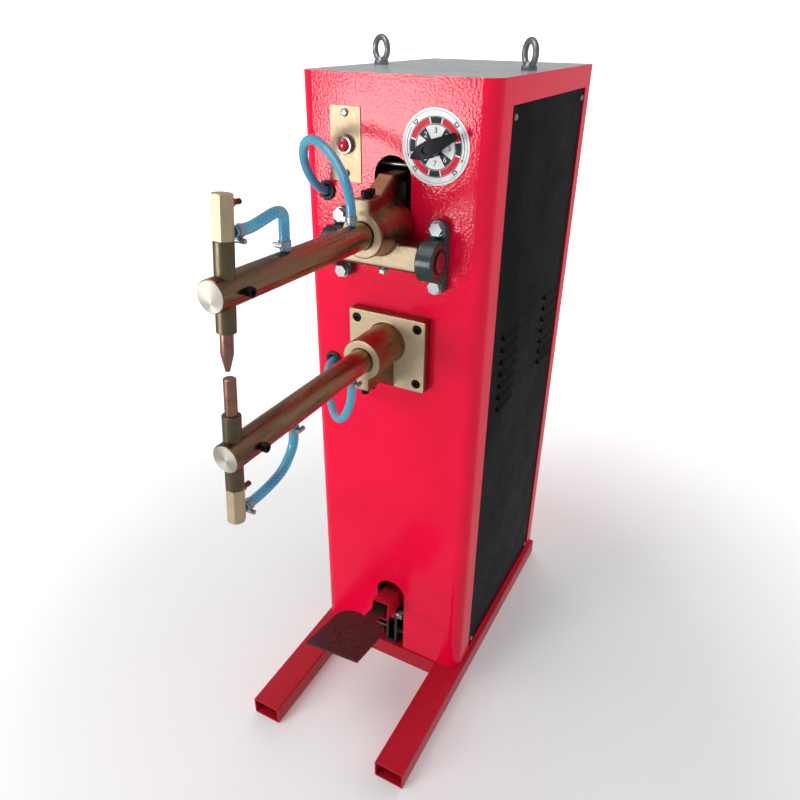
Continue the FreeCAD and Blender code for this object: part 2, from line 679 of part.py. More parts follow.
def rocker_shaft():
    """Pivot shaft clamped in the bar and running in both inserts."""
    half = BLOCK_X + 15.5
    return rod(V(-half, PIVOT_Y, PIVOT_Z), X_AXIS, SHAFT_R, 2 * half)


def rocker_cap_screws():
    """Two screws that press on the arm, the pinch screw and the two lever bolts."""
    screws = []
    for y in UPPER_SCREW_Y:
        screws.append(cap_screw(V(0, y, BOSS_TOP + 2.5), Z_AXIS, 8.0, BOSS_TOP + 2.5 - UPPER_ARM_Z - ARM_R))
    screws.append(cap_screw(V(ARM_R + 2.0, PINCH_Y, UPPER_ARM_Z), X_AXIS, 8.0, PINCH_SCREW_LENGTH))
    for y, z in LEVER_BOLTS:
        seat = LUG_HALF + LEVER_PLATE + 0.1
        bolt = cap_screw(V(seat, y, z), X_AXIS, 8.0, 2 * seat)
        nut = hexagon(V(-seat - 6.5, y, z), X_AXIS, 13.0, 6.5)
        screws.append(union([bolt, nut]))
    return screws


def rear_lever():
    """Pair of steel plates bolted to the lug, reaching back and down to the push rod."""
    eye_r = 14.0
    outline = [(5.0, 998.0), (5.0, 1046.0), (46.0, 1046.0), (ROD_Y + 11.0, PIVOT_Z + 8.5),
               (ROD_Y - 11.0, PIVOT_Z - 8.5), (34.0, 998.0)]
    plates = []
    for sign in (-1.0, 1.0):
        x0 = sign * (LUG_HALF + 0.05)
        x1 = sign * (LUG_HALF + 0.05 + LEVER_PLATE)
        plate = prism_x(outline, min(x0, x1), max(x0, x1))
        plate = plate.fuse(rod(V(min(x0, x1), ROD_Y, PIVOT_Z), X_AXIS, eye_r, LEVER_PLATE)).removeSplitter()
        tools = [rod(V(min(x0, x1) - 1, ROD_Y, PIVOT_Z), X_AXIS, ROD_PIN_R + 0.4, LEVER_PLATE + 2)]
        for y, z in LEVER_BOLTS:
            tools.append(rod(V(min(x0, x1) - 1, y, z), X_AXIS, 4.1, LEVER_PLATE + 2))
        plates.append(plate.cut(tools))
    return plates


def shaft_lock_bolt():
    """Hex bolt screwed up into the bar against the shaft."""
    return hex_bolt(V(0, LOCK_BOLT_Y, BAR_BOTTOM - 6.0), V(0, 0, -1), 8.0, 13.5)


# ================================================================ arms and electrodes
def arm(front, rear, z, barbs, screw_hole=True):
    """Solid round arm with the electrode hole, the pinch screw hole and barb ports."""
    bar = rod(V(0, front, z), Y_AXIS, ARM_R, rear - front)
    bar = bar.makeChamfer(1.2, [e for e in bar.Edges if abs(e.CenterOfMass.y - front) < 1e-6])
    tools = [leaned(rod(V(0, ELECTRODE_Y, z - ARM_R - 5), Z_AXIS, HOLDER_R + FIT, 2 * ARM_R + 10))]
    tools.append(rod(V(0, PINCH_Y, z), X_AXIS, 4.1, ARM_R + 1))
    for y, side in barbs:
        tools.append(rod(V(0, y, z + side * (ARM_R - 4.0)), V(0, 0, side), BARB_BASE_R + FIT, 5.0))
    return bar.cut(tools)


def electrode_holder(z):
    """Round brass holder through the arm."""
    bar = rod(V(0, ELECTRODE_Y, z - HOLDER_HALF), Z_AXIS, HOLDER_R, 2 * HOLDER_HALF)
    return bar.makeChamfer(1.0, [e for e in bar.Edges if not along(e, Z_AXIS)])


def head_nozzle_heights(base, up):
    """Heights of the open and the hosed barb on a head standing at base."""
    free_end = base + up * HEAD_LENGTH
    first = free_end - up * NOZZLE_STEP
    return first, first - up * NOZZLE_SPACING


def electrode_head(base, up):
    """Hexagonal water head screwed on the holder, its free end chamfered."""
    start = V(0, ELECTRODE_Y, min(base, base + up * HEAD_LENGTH))
    head = hexagon(start, Z_AXIS, HEAD_ACROSS_FLATS, HEAD_LENGTH, 0.0)
    corner_r = HEAD_ACROSS_FLATS / math.sqrt(3.0)
    chamfer_r = corner_r - 1.6
    root = V(0, ELECTRODE_Y, base)
    cone = Part.makeCone(chamfer_r + HEAD_LENGTH, chamfer_r, HEAD_LENGTH, root, V(0, 0, up))
    return head.common(cone)


def upper_tip():
    """Pointed copper electrode cap on its shank."""
    top = UPPER_HOLDER_Z - HOLDER_HALF
    shoulder = MEET_Z + TIP_CONE
    shank = rod(V(0, ELECTRODE_Y, shoulder), Z_AXIS, TIP_R, top - shoulder)
    point = Part.makeCone(TIP_POINT_R, TIP_R, TIP_CONE, V(0, ELECTRODE_Y, MEET_Z), Z_AXIS)
    return union([shank, point])


def lower_tip():
    """Flat-topped copper electrode."""
    base = LOWER_ARM_Z + HOLDER_HALF
    bar = rod(V(0, ELECTRODE_Y, base), Z_AXIS, TIP_R, MEET_Z - base)
    return bar.makeChamfer(1.0, [e for e in bar.Edges if abs(e.CenterOfMass.z - MEET_Z) < 1e-6])


# ================================================================ hoses
def barb(root, axis, base_r=BARB_BASE_R, base=BARB_BASE, length=BARB_LENGTH):
    """Barbed hose nozzle: hexagon-like collar, stem and three barbs."""
    shapes = [rod(root, axis, base_r, base)]
    start = root + axis * base
    shapes.append(rod(start, axis, BARB_R - 0.7, length))
    pitch = 4.4
    for index in range(int(length / pitch)):
        foot = start + axis * (length - 1.0 - pitch * (index + 1) + 0.4)
        shapes.append(Part.makeCone(BARB_R, BARB_R - 1.0, pitch - 0.6, foot, axis))
    lip = start + axis * (length - 1.4)
    shapes.append(Part.makeCone(BARB_R, BARB_R - 1.0, 1.4, lip, axis))
    return union(shapes).cut(rod(root + axis * 1.0, axis, 2.0, base + length))


def hose_path(points):
    """Straight runs joined by tangent arcs; prints the arc radii and returns wire and length."""
    edges = []
    radii = []
    length = 0.0
    cursor = points[0]
    for index in range(1, len(points) - 1):
        corner = points[index]
        back = points[index - 1] - corner
        ahead = points[index + 1] - corner
        turn = math.pi - back.getAngle(ahead)
        reach = ARC_SHARE * min(back.Length, ahead.Length)
        radius = reach / math.tan(turn / 2.0)
        radii.append(round(radius, 1))
        back.normalize()
        ahead.normalize()
        start = corner + back * reach
        end = corner + ahead * reach
        bisector = back + ahead
        bisector.normalize()
        middle = corner + bisector * (radius / math.cos(turn / 2.0) - radius)
        edges.append(Part.LineSegment(cursor, start).toShape())
        edges.append(Part.Arc(start, middle, end).toShape())
        length += (start - cursor).Length + radius * turn
        cursor = end
    edges.append(Part.LineSegment(cursor, points[-1]).toShape())
    length += (points[-1] - cursor).Length
    print("  radii", radii, "length", round(length, 1))
    return Part.Wire(edges), length


def hose(points, bores):
    """Round hose along its route, bored at (first end, last end) for the barbs inside it."""
    path, length = hose_path(points)
    direction = points[1] - points[0]
    direction.normalize()
    circle = Part.Wire(Part.Circle(points[0], direction, HOSE_R).toShape())
    solid = path.makePipeShell([circle], True, False)
    expected = math.pi * HOSE_R ** 2 * length
    print("  volume ratio", round(solid.Volume / expected, 4))
    tools = []
    for root, following, radius in ((points[0], points[1], bores[0]), (points[-1], points[-2], bores[1])):
        inward = following - root
        inward.normalize()
        tools.append(rod(root - inward * 0.5, inward, radius, BARB_LENGTH + 1.0))
    return solid.cut(tools)


def hose_clamp(centre, axis, screw_side):
    """Worm-drive clamp: band, screw housing and screw."""
    band_w = 8.0
    start = centre - axis * (band_w / 2.0)
    band = pipe(start, axis, HOSE_R + 1.2, HOSE_R + 0.05, band_w)
    tangent = axis.cross(screw_side)
    seat = centre + screw_side * (HOSE_R + 3.6)
    housing = rod(seat - tangent * 5.0, tangent, 3.4, 10.0)
    foot = rod(centre + screw_side * (HOSE_R + 0.4), screw_side, 3.4, 2.4)
    screw = hexagon(seat - tangent * 9.5, tangent, 6.0, 5.0)
    return union([band, foot, housing, screw])


def unit(x, y, z):
    """Unit vector."""
    vector = V(x, y, z)
    vector.normalize()
    return vector


def turned(degrees):
    """Horizontal direction, degrees from +X towards +Y."""
    angle = math.radians(degrees)
    return V(math.cos(angle), math.sin(angle), 0)


def head_barbs(base, up, turn):
    """Open and hosed barbs on one head; also returns where the hosed one starts."""
    face = HEAD_ACROSS_FLATS / 2.0 + 0.01
    direction = turned(turn)
    open_z, hosed_z = head_nozzle_heights(base, up)
    if up < 0:
        open_z, hosed_z = hosed_z, open_z
    roots = [leaned_point(V(0, ELECTRODE_Y, z) + direction * face) for z in (open_z, hosed_z)]
    direction = leaned_vector(direction)
    nozzles = [barb(roots[0], direction, length=OPEN_BARB_LENGTH), barb(roots[1], direction)]
    return nozzles, roots[1], direction


UPPER_HEAD_BASE = UPPER_HOLDER_Z + HOLDER_HALF
LOWER_HEAD_BASE = LOWER_ARM_Z - HOLDER_HALF

# The middle stretch of each hose.  The upper front hose is drawn with the electrodes closed,
# like the rest of the rocker; the others are drawn where they lie at rest.
UPPER_FRONT_HOSE = [(4.0, -328.0, 1048.0), (8.0, -303.0, 1056.0), (3.0, -282.0, 1050.0)]
UPPER_REAR_HOSE = [(-9.0, -113.0, 1057.0), (-28.0, -101.0, 1078.0), (-55.0, -86.0, 1096.0),
                   (-91.0, -69.0, 1109.0), (-121.0, -54.0, 1101.0), (-131.0, -46.0, 1075.0),
                   (-126.0, -38.0, 1047.0), (-119.0, -17.0, 1021.0), (-119.0, 22.0, 1017.0),
                   (-119.0, 95.0, 1000.0), (-119.0, 205.0, 972.0), (-119.0, 320.0, 963.0),
                   (-119.0, 400.0, 978.0)]
LOWER_FRONT_HOSE = [(-3.0, -340.0, 693.0), (-3.0, -313.0, 700.0), (-2.0, -293.0, 721.0)]
LOWER_REAR_HOSE = [(-3.0, -134.0, 710.0), (-18.0, -131.0, 683.0), (-46.0, -110.0, 667.0),
                   (-76.0, -80.0, 674.0), (-101.0, -51.0, 693.0), (-118.0, -22.0, 715.0),
                   (-119.0, 22.0, 717.0), (-119.0, 95.0, 704.0), (-119.0, 205.0, 678.0),
                   (-119.0, 320.0, 668.0), (-119.0, 400.0, 681.0)]


def arm_barb_end(y, z, side, swing=0.0, gap=0.0):
    """First two points of a hose on an arm's barb, from its end on the collar."""
    root = V(0, y, z + side * (ARM_R - 4.0))
    turn = FreeCAD.Rotation(X_AXIS, -OPEN_ANGLE * swing)
    direction = turn.multVec(V(0, 0, side))
    root = PIVOT + turn.multVec(root - PIVOT)
    start = root + direction * (BARB_BASE + gap)
    return [start, start + direction * FIRST_RUN]


def head_barb_end(root, direction):
    """First two points of a hose on a head's barb."""
    start = root + direction * BARB_BASE
    return [start, start + direction * FIRST_RUN]


def rear_barb_end(z):
    """Last two points of a hose on a bulkhead barb."""
    end = CABINET_DEPTH - SHEET - 8.0
    return [V(GROMMET_X, end - FIRST_RUN, z), V(GROMMET_X, end, z)]


def route(first, middle, last):
    """Whole hose route as vectors."""
    return first + [V(*point) for point in middle] + last


def hose_grommets():
    """Rubber rings that line both hose holes in the face."""
    rings = []
    for z in (UPPER_GROMMET_Z, LOWER_GROMMET_Z):
        front = Part.makeTorus(GROMMET_R - 4.0, 4.0, V(GROMMET_X, -1.0, z), Y_AXIS)
        front = front.common(box((GROMMET_X - 30, GROMMET_X + 30), (-10, 0), (z - 30, z + 30)))
        flange = pipe(V(GROMMET_X, -1.5, z), Y_AXIS, GROMMET_R, GROMMET_BORE_R, 1.5)
        neck = pipe(V(GROMMET_X, -1.0, z), Y_AXIS, GROMMET_R - 3.0, GROMMET_BORE_R, SHEET + 1.0)
        back = pipe(V(GROMMET_X, SHEET, z), Y_AXIS, GROMMET_R, GROMMET_BORE_R, 2.5)
        ring = union([front, flange, neck, back])
        rings.append(ring.cut(rod(V(GROMMET_X, -8, z), Y_AXIS, GROMMET_BORE_R, 20.0)))
    return rings


# ================================================================ lower arm mount
def flange_screw_places():
    """Centres of the four flange screws."""
    middle = (FLANGE_BOTTOM + FLANGE_TOP) / 2.0
    return [(x, middle + z) for x in (-57.5, 57.5) for z in (-50.0, 50.0)]


def lower_flange():
    """Cast flange: plate, barrel for the arm and a foot rib with its screws."""
    plate = box((-FLANGE_HALF_X, FLANGE_HALF_X), (-FLANGE_THICK, 0), (FLANGE_BOTTOM, FLANGE_TOP))
    plate = fillet_where(plate, 4.0, lambda e: along(e, Y_AXIS))
    plate = fillet_where(plate, 1.5, lambda e: abs(e.CenterOfMass.y + FLANGE_THICK) < 1e-6)
    barrel = rod(V(0, LOWER_RING_Y, LOWER_ARM_Z), Y_AXIS, BARREL_R, -LOWER_RING_Y - 1.0)
    profile = [(LOWER_RING_Y, LOWER_ARM_Z), (LOWER_RING_Y, LOWER_FOOT_Z), (-62.0, LOWER_FOOT_Z),
               (-FLANGE_THICK, FLANGE_BOTTOM + 1.0), (-1.0, FLANGE_BOTTOM + 1.0), (-1.0, LOWER_ARM_Z)]
    rib = prism_x(profile, -LUG_HALF, LUG_HALF)
    body = union([plate, barrel, rib])
    tools = [rod(V(0, LOWER_RING_Y - 1, LOWER_ARM_Z), Y_AXIS, ARM_R + FIT, -LOWER_RING_Y + 2)]
    for x, z in flange_screw_places():
        tools.append(rod(V(x, -FLANGE_THICK - 1, z), Y_AXIS, 4.2, FLANGE_THICK + 2))
        tools.append(rod(V(x, -FLANGE_THICK - 1, z), Y_AXIS, 7.4, 8.5))
    for y in LOWER_SCREW_Y:
        tools.append(rod(V(0, y, LOWER_FOOT_Z - 1), Z_AXIS, 4.0, 40.0))
    return body.cut(tools)


def lower_cap_screws():
    """Flange screws in their counterbores, foot screws and the pinch screw."""
    screws = []
    for x, z in flange_screw_places():
        screws.append(cap_screw(V(x, -FLANGE_THICK + 7.4, z), V(0, -1, 0), 8.0, 26.0))
    for y in LOWER_SCREW_Y:
        length = LOWER_ARM_Z - ARM_R - LOWER_FOOT_Z + 2.0
        screws.append(cap_screw(V(0, y, LOWER_FOOT_Z - 2.0), V(0, 0, -1), 8.0, length))
    screws.append(cap_screw(V(ARM_R + 2.0, PINCH_Y, LOWER_ARM_Z), X_AXIS, 8.0, PINCH_SCREW_LENGTH))
    return screws


# ================================================================ pedal
def pitched(shape):
    """Turn a pedal piece drawn level, about its front end, to the pedal's rest pitch."""
    moved = shape.copy()
    moved.translate(V(0, PEDAL_END_Y, PEDAL_END_Z))
    moved.rotate(V(0, PEDAL_END_Y, PEDAL_END_Z), X_AXIS, -PEDAL_PITCH)
    return moved


def pedal_arm():
    """Square tube with a web plate welded below it for the pivot and the rod."""
    half = PEDAL_TUBE / 2.0
    length = (PEDAL_REAR_Y - PEDAL_END_Y) / math.cos(math.radians(PEDAL_PITCH))
    tube = box((-half, half), (0, length), (-half, half))
    tube = fillet_where(tube, 3.0, lambda e: along(e, Y_AXIS))
    inner = half - PEDAL_WALL
    tube = pitched(tube.cut(box((-inner, inner), (-1, length + 1), (-inner, inner))))
    slope = math.tan(math.radians(PEDAL_PITCH))

    def underside(y):
        return PEDAL_END_Z - (y - PEDAL_END_Y) * slope - half / math.cos(math.radians(PEDAL_PITCH))

    hub = 13.0
    reach = ROD_Y + 12.0
    outline = [(PEDAL_PIVOT_Y - hub, PEDAL_PIVOT_Z), (PEDAL_PIVOT_Y - hub, underside(PEDAL_PIVOT_Y - hub) + 1.0),
               (PEDAL_REAR_Y - 8.0, underside(PEDAL_REAR_Y - 8.0) + 1.0), (reach, ROD_PIN_LOW_Z + 11.0),
               (reach, ROD_PIN_LOW_Z - 11.0), (PEDAL_PIVOT_Y, PEDAL_PIVOT_Z - hub)]
    web = prism_x(outline, -6.5, 6.5)
    web = web.fuse(rod(V(-6.5, PEDAL_PIVOT_Y, PEDAL_PIVOT_Z), X_AXIS, hub, 13.0)).removeSplitter()
    arm_body = union([tube, web])
    tools = [rod(V(-10, PEDAL_PIVOT_Y, PEDAL_PIVOT_Z), X_AXIS, PEDAL_PIN_R + FIT, 20.0)]
    slack = 2.0
    tools.append(rod(V(-10, ROD_Y - slack, ROD_PIN_LOW_Z), X_AXIS, ROD_PIN_R + 0.4, 20.0))
    tools.append(rod(V(-10, ROD_Y + slack, ROD_PIN_LOW_Z), X_AXIS, ROD_PIN_R + 0.4, 20.0))
    tools.append(box((-10, 10), (ROD_Y - slack, ROD_Y + slack),
                     (ROD_PIN_LOW_Z - ROD_PIN_R - 0.4, ROD_PIN_LOW_Z + ROD_PIN_R + 0.4)))
    return arm_body.cut(tools)


def pedal_tread():
    """Spade-shaped tread plate whose neck is held inside the tube."""
    thick = 4.0
    neck_half = 14.0
    half = TREAD_WIDTH / 2.0
    back = -42.0
    front = back - TREAD_LENGTH
    shoulder = back - 26.0
    left = TREAD_OFFSET_X - half
    right = TREAD_OFFSET_X + half
    edges = [Part.LineSegment(V(-neck_half, 24, 0), V(-neck_half, back, 0)).toShape()]
    edges.append(curve([V(-neck_half, back, 0), V(left + 14, back - 3, 0), V(left, shoulder, 0)]))
    front_left = V(left, front - TREAD_LEFT_EXTRA, 0)
    front_right = V(right, front - TREAD_RIGHT_EXTRA, 0)
    edges.append(Part.LineSegment(V(left, shoulder, 0), front_left).toShape())
    edges.append(Part.LineSegment(front_left, front_right).toShape())
    edges.append(Part.LineSegment(front_right, V(right, shoulder, 0)).toShape())
    edges.append(curve([V(right, shoulder, 0), V(right - 14, back - 3, 0), V(neck_half, back, 0)]))
    edges.append(Part.LineSegment(V(neck_half, back, 0), V(neck_half, 24, 0)).toShape())
    edges.append(Part.LineSegment(V(neck_half, 24, 0), V(-neck_half, 24, 0)).toShape())
    plate = Part.Face(Part.Wire(edges)).extrude(V(0, 0, thick))
    return pitched(plate)


def curve(points):
    """Smooth edge through three points."""
    return Part.Arc(points[0], points[1], points[2]).toShape()


def pedal_pivot():
    """Bracket with two ears on the front crossbar, and the bolt that carries the pedal."""
    ears = []
    for x in (-13.0, 7.0):
        outline = [(2.0 + SHEET, RAIL_H), (36.0, RAIL_H), (PEDAL_PIVOT_Y + 12.0, PEDAL_PIVOT_Z),
                   (PEDAL_PIVOT_Y - 12.0, PEDAL_PIVOT_Z)]
        ear = prism_x(outline, x, x + 6.0)
        ear = ear.fuse(rod(V(x, PEDAL_PIVOT_Y, PEDAL_PIVOT_Z), X_AXIS, 12.0, 6.0)).removeSplitter()
        ears.append(ear.cut(rod(V(x - 1, PEDAL_PIVOT_Y, PEDAL_PIVOT_Z), X_AXIS, PEDAL_PIN_R, 8.0)))
    foot = box((-6.9, 6.9), (2 + SHEET, 36), (RAIL_H, RAIL_H + 6))
    bolt = hex_bolt(V(13.0, PEDAL_PIVOT_Y, PEDAL_PIVOT_Z), X_AXIS, 2 * PEDAL_PIN_R, 38.0, 26.0)
    return ears + [foot, bolt]


# ================================================================ push rod
def lower_rod():
    """Clevis, socket tube, spring seat and the striker that works the trigger switch."""
    cheeks = []
    for x in (-13.0, 7.0):
        cheeks.append(box((x, x + 6.0), (ROD_Y - 11.0, ROD_Y + 11.0), (ROD_PIN_LOW_Z - 12.0, 152.0)))
    block = box((-13, 13), (ROD_Y - 11.0, ROD_Y + 11.0), (144.0, 154.0))
    tube = rod(V(0, ROD_Y, 150.0), Z_AXIS, 14.0, ROD_SOCKET_TOP - 150.0)
    seat = rod(V(0, ROD_Y, ROD_SOCKET_TOP - 6.0), Z_AXIS, 21.0, 6.0)
    striker = box((10.0, SWITCH_X + 9.0), (ROD_Y - 7.0, ROD_Y + 7.0), (ROD_SOCKET_TOP - 6.0, ROD_SOCKET_TOP))
    body = union(cheeks + [block, tube, seat, striker])
    socket = rod(V(0, ROD_Y, 165.0), Z_AXIS, ROD_R + FIT, 200.0)
    pin_hole = rod(V(-20, ROD_Y, ROD_PIN_LOW_Z), X_AXIS, ROD_PIN_R, 40.0)
    pin = rod(V(-17, ROD_Y, ROD_PIN_LOW_Z), X_AXIS, ROD_PIN_R, 34.0)
    return [body.cut([socket, pin_hole]), pin]


def push_rod():
    """Upper rod with its eye, cross pin and two spring collars."""
    foot_z = 215.0
    bar = rod(V(0, ROD_Y, foot_z), Z_AXIS, ROD_R, ROD_EYE_Z - 8.0 - foot_z)
    eye = rod(V(-12, ROD_Y, ROD_EYE_Z), X_AXIS, 13.0, 24.0)
    collars = []
    for z in (PRESSURE_SPRING_TOP, RETURN_SPRING_BOTTOM - 8.0):
        collars.append(rod(V(0, ROD_Y, z), Z_AXIS, 20.0, 2.0))
        collars.append(hexagon(V(0, ROD_Y, z + (2.0 if z < 400 else -6.0)), Z_AXIS, 24.0, 6.0))
    collars[2].translate(V(0, 0, 6.0))
    collars[3].translate(V(0, 0, 6.0))
    body = union([bar, eye] + collars)
    pin_hole = rod(V(-20, ROD_Y, ROD_EYE_Z), X_AXIS, ROD_PIN_R, 40.0)
    pin = rod(V(-24, ROD_Y, ROD_EYE_Z), X_AXIS, ROD_PIN_R, 48.0)
    return [body.cut(pin_hole), pin]


def coil_spring(z0, z1, mean_r, wire_r, turns):
    """Round-wire compression spring on the push rod."""
    height = z1 - z0 - 2 * wire_r
    helix = Part.makeHelix(height / turns, height, mean_r)
    helix.translate(V(0, ROD_Y, z0 + wire_r))
    start = V(mean_r, ROD_Y, z0 + wire_r)
    section = Part.Wire(Part.Circle(start, Y_AXIS, wire_r).toShape())
    return Part.Wire(helix.Edges).makePipeShell([section], True, True)


def rod_guide():
    """Angle bracket on the inside of the face that guides the push rod."""
    shelf = box((-28, 28), (SHEET, ROD_Y + 22.0), (GUIDE_Z, GUIDE_Z + 4.0))
    flange = box((-28, 28), (SHEET, SHEET + 4.0), (GUIDE_Z, GUIDE_Z + 46.0))
    gusset = prism_x([(SHEET, GUIDE_Z + 3.0), (SHEET + 60.0, GUIDE_Z + 3.0), (SHEET, GUIDE_Z + 43.0)], 24.0, 28.0)
    body = union([shelf, flange, gusset, mirrored(gusset)])
    return body.cut(rod(V(0, ROD_Y, GUIDE_Z - 1), Z_AXIS, ROD_R + FIT, 10.0))


def trigger_switch():
    """Limit switch and its bracket beside the striker."""
    body = box((SWITCH_X - 15.0, SWITCH_X + 15.0), (ROD_Y - 14.0, ROD_Y + 14.0), (332.0, 378.0))
    body = fillet_where(body, 2.0, lambda e: along(e, Z_AXIS))
    nose = rod(V(SWITCH_X, ROD_Y, 322.0), Z_AXIS, 7.0, 12.0)
    bore = rod(V(SWITCH_X, ROD_Y, 321.0), Z_AXIS, 3.5 + FIT, 45.0)
    housing = union([body, nose]).cut(bore)
    x = SWITCH_X + 15.0
    plate = box((x, x + 3.0), (SHEET, ROD_Y + 16.0), (334.0, 376.0))
    flange = box((x - 26.0, x + 3.0), (SHEET, SHEET + 3.0), (334.0, 376.0))
    return [housing, union([plate, flange])]


def trigger_plunger():
    """Plunger of the limit switch, just above the striker."""
    start = ROD_SOCKET_TOP + GAP
    return rod(V(SWITCH_X, ROD_Y, start), Z_AXIS, 3.5, 50.0)


# ================================================================ electrical parts
def transformer_core():
    """Shell-type laminated core with two windows."""
    core = box((-CORE_HALF, CORE_HALF), CORE_Y, CORE_Z)
    for sign in (-1.0, 1.0):
        edge = sorted((sign * LEG_HALF, sign * WINDOW_OUT))
        core = core.cut(box(tuple(edge), (CORE_Y[0] - 1, CORE_Y[1] + 1), (595.0, 725.0)))
    return core


def racetrack(thick_in, thick_out, z0, z1):
    """Ring around the centre leg with rounded outer corners."""
    outer = box((-thick_out, thick_out), (CORE_Y[0] - thick_out + LEG_HALF, CORE_Y[1] + thick_out - LEG_HALF), (z0, z1))
    outer = fillet_where(outer, 16.0, lambda e: along(e, Z_AXIS))
    inner = box((-thick_in, thick_in), (CORE_Y[0] - thick_in + LEG_HALF, CORE_Y[1] + thick_in - LEG_HALF),
                (z0 - 1, z1 + 1))
    return outer.cut(inner)


def transformer_coil():
    """Taped primary winding in the lower half of the windows."""
    return racetrack(LEG_HALF + 1.0, WINDOW_OUT - 1.0, 597.0, 658.0)


def secondary_turn():
    """Single copper turn with one bar to the lower flange and one post to the strap."""
    ring = racetrack(LEG_HALF + 4.0, WINDOW_OUT - 6.0, 664.0, 722.0)
    ring = ring.cut(box((-9, 9), (140, CORE_Y[0]), (650, 740)))
    low_post = box((-37, -17), (138, 166), (664, 786))
    low_bar = box((-37, -17), (0.1, 166), (756, 786))
    high_post = box((17, 37), (138, 166), (664, 880))
    pad = box((-25, 37), (138, 155), (842, 880))
    return union([ring, low_post, low_bar, high_post, pad])


def inner_shelves():
    """Folded transformer shelf between the two sides, and the floor sheet of the cabinet."""
    seat_x = HALF - PANEL_RECESS - 2 * SHEET - 0.1
    floor = box((-seat_x, seat_x), (CROSSBAR_DEPTH, CABINET_DEPTH - SHEET - 0.5), (RAIL_H, RAIL_H + SHEET))
    shelf = box((-seat_x, seat_x), (150, 380), (CORE_Z[0] - 4.0, CORE_Z[0]))
    for y in (150.0, 376.0):
        shelf = shelf.fuse(box((-seat_x, seat_x), (y, y + 4.0), (CORE_Z[0] - 30.0, CORE_Z[0])))
    return [shelf.removeSplitter(), floor]


def flexible_strap():
    """Laminated copper strap from the transformer post to the rear end of the rocker's lug."""
    thick = 5.0
    half = 12.0
    z0 = 1026.0
    y0 = LUG_REAR + 3.5
    y1 = 155.1
    bend = 45.0
    run = box((-half, half), (y0, y1 + thick - bend), (z0, z0 + thick))
    pad = box((-half, half), (y0, y0 + thick), (z0 - 24.0, z0 + thick))
    drop = box((-half, half), (y1, y1 + thick), (844.0, z0 + thick - bend))
    centre = V(-half, y1 + thick - bend, z0 + thick - bend)
    quarter = Part.makeCylinder(bend, 2 * half, centre, X_AXIS).cut(
        Part.makeCylinder(bend - thick, 2 * half, centre, X_AXIS))
    keep = box((-half, half), (centre.y, centre.y + bend + 1), (centre.z, centre.z + bend + 1))
    return union([pad, run, drop, quarter.common(keep)])


def contactor():
    """Contactor on the inside of the back panel, with its terminal rows."""
    y1 = CABINET_DEPTH - SHEET - 0.1
    body = box((40, 112), (y1 - 72, y1), (950, 1030))
    front = box((50, 102), (y1 - 86, y1 - 71), (965, 1015))
    screws = [rod(V(50 + 10.5 * i, y1 - 80, z), Y_AXIS, 3.2, 12) for i in range(6) for z in (957, 1023)]
    return union([body, front] + screws)


def rear_fittings():
    """Two bulkhead water barbs, the mains cable gland and the earth stud."""
    y = CABINET_DEPTH
    fittings = []
    for z in (REAR_BARB_UPPER_Z, REAR_BARB_LOWER_Z):
        body = rod(V(GROMMET_X, y - SHEET - 7.9, z), Y_AXIS, 6.5, SHEET + 10.9)
        nut = hexagon(V(GROMMET_X, y - SHEET - 6.0, z), Y_AXIS, 19.0, 6.0)
        outer = hexagon(V(GROMMET_X, y, z), Y_AXIS, 19.0, 7.0)
        inner_barb = barb(V(GROMMET_X, y - SHEET - 6.0, z), V(0, -1, 0), 6.0, 2.0)
        spigot = rod(V(GROMMET_X, y + 6.0, z), Y_AXIS, 5.0, 24.0)
        spigot = spigot.makeChamfer(0.8, [e for e in spigot.Edges if e.CenterOfMass.y > y + 29.9])
        port = rod(V(GROMMET_X, y - 30.0, z), Y_AXIS, 2.0, 70.0)
        fittings.append(union([body, nut, outer, inner_barb, spigot]).cut(port))
    gland = [hexagon(V(GLAND_X, y, GLAND_Z), Y_AXIS, 30.0, 6.0)]
    gland.append(rod(V(GLAND_X, y - SHEET - 14.0, GLAND_Z), Y_AXIS, 12.5, SHEET + 16.0))
    gland.append(hexagon(V(GLAND_X, y - SHEET - 5.0, GLAND_Z), Y_AXIS, 30.0, 5.0))
    gland.append(rod(V(GLAND_X, y + 5.0, GLAND_Z), Y_AXIS, 14.0, 16.0))
    fittings.append(union(gland).cut(rod(V(GLAND_X, y - 30, GLAND_Z), Y_AXIS, 7.0, 70.0)))
    fittings.append(hex_bolt(V(EARTH_X, y, GLAND_Z), Y_AXIS, 8.0, 18.0, SHEET))
    return fittings


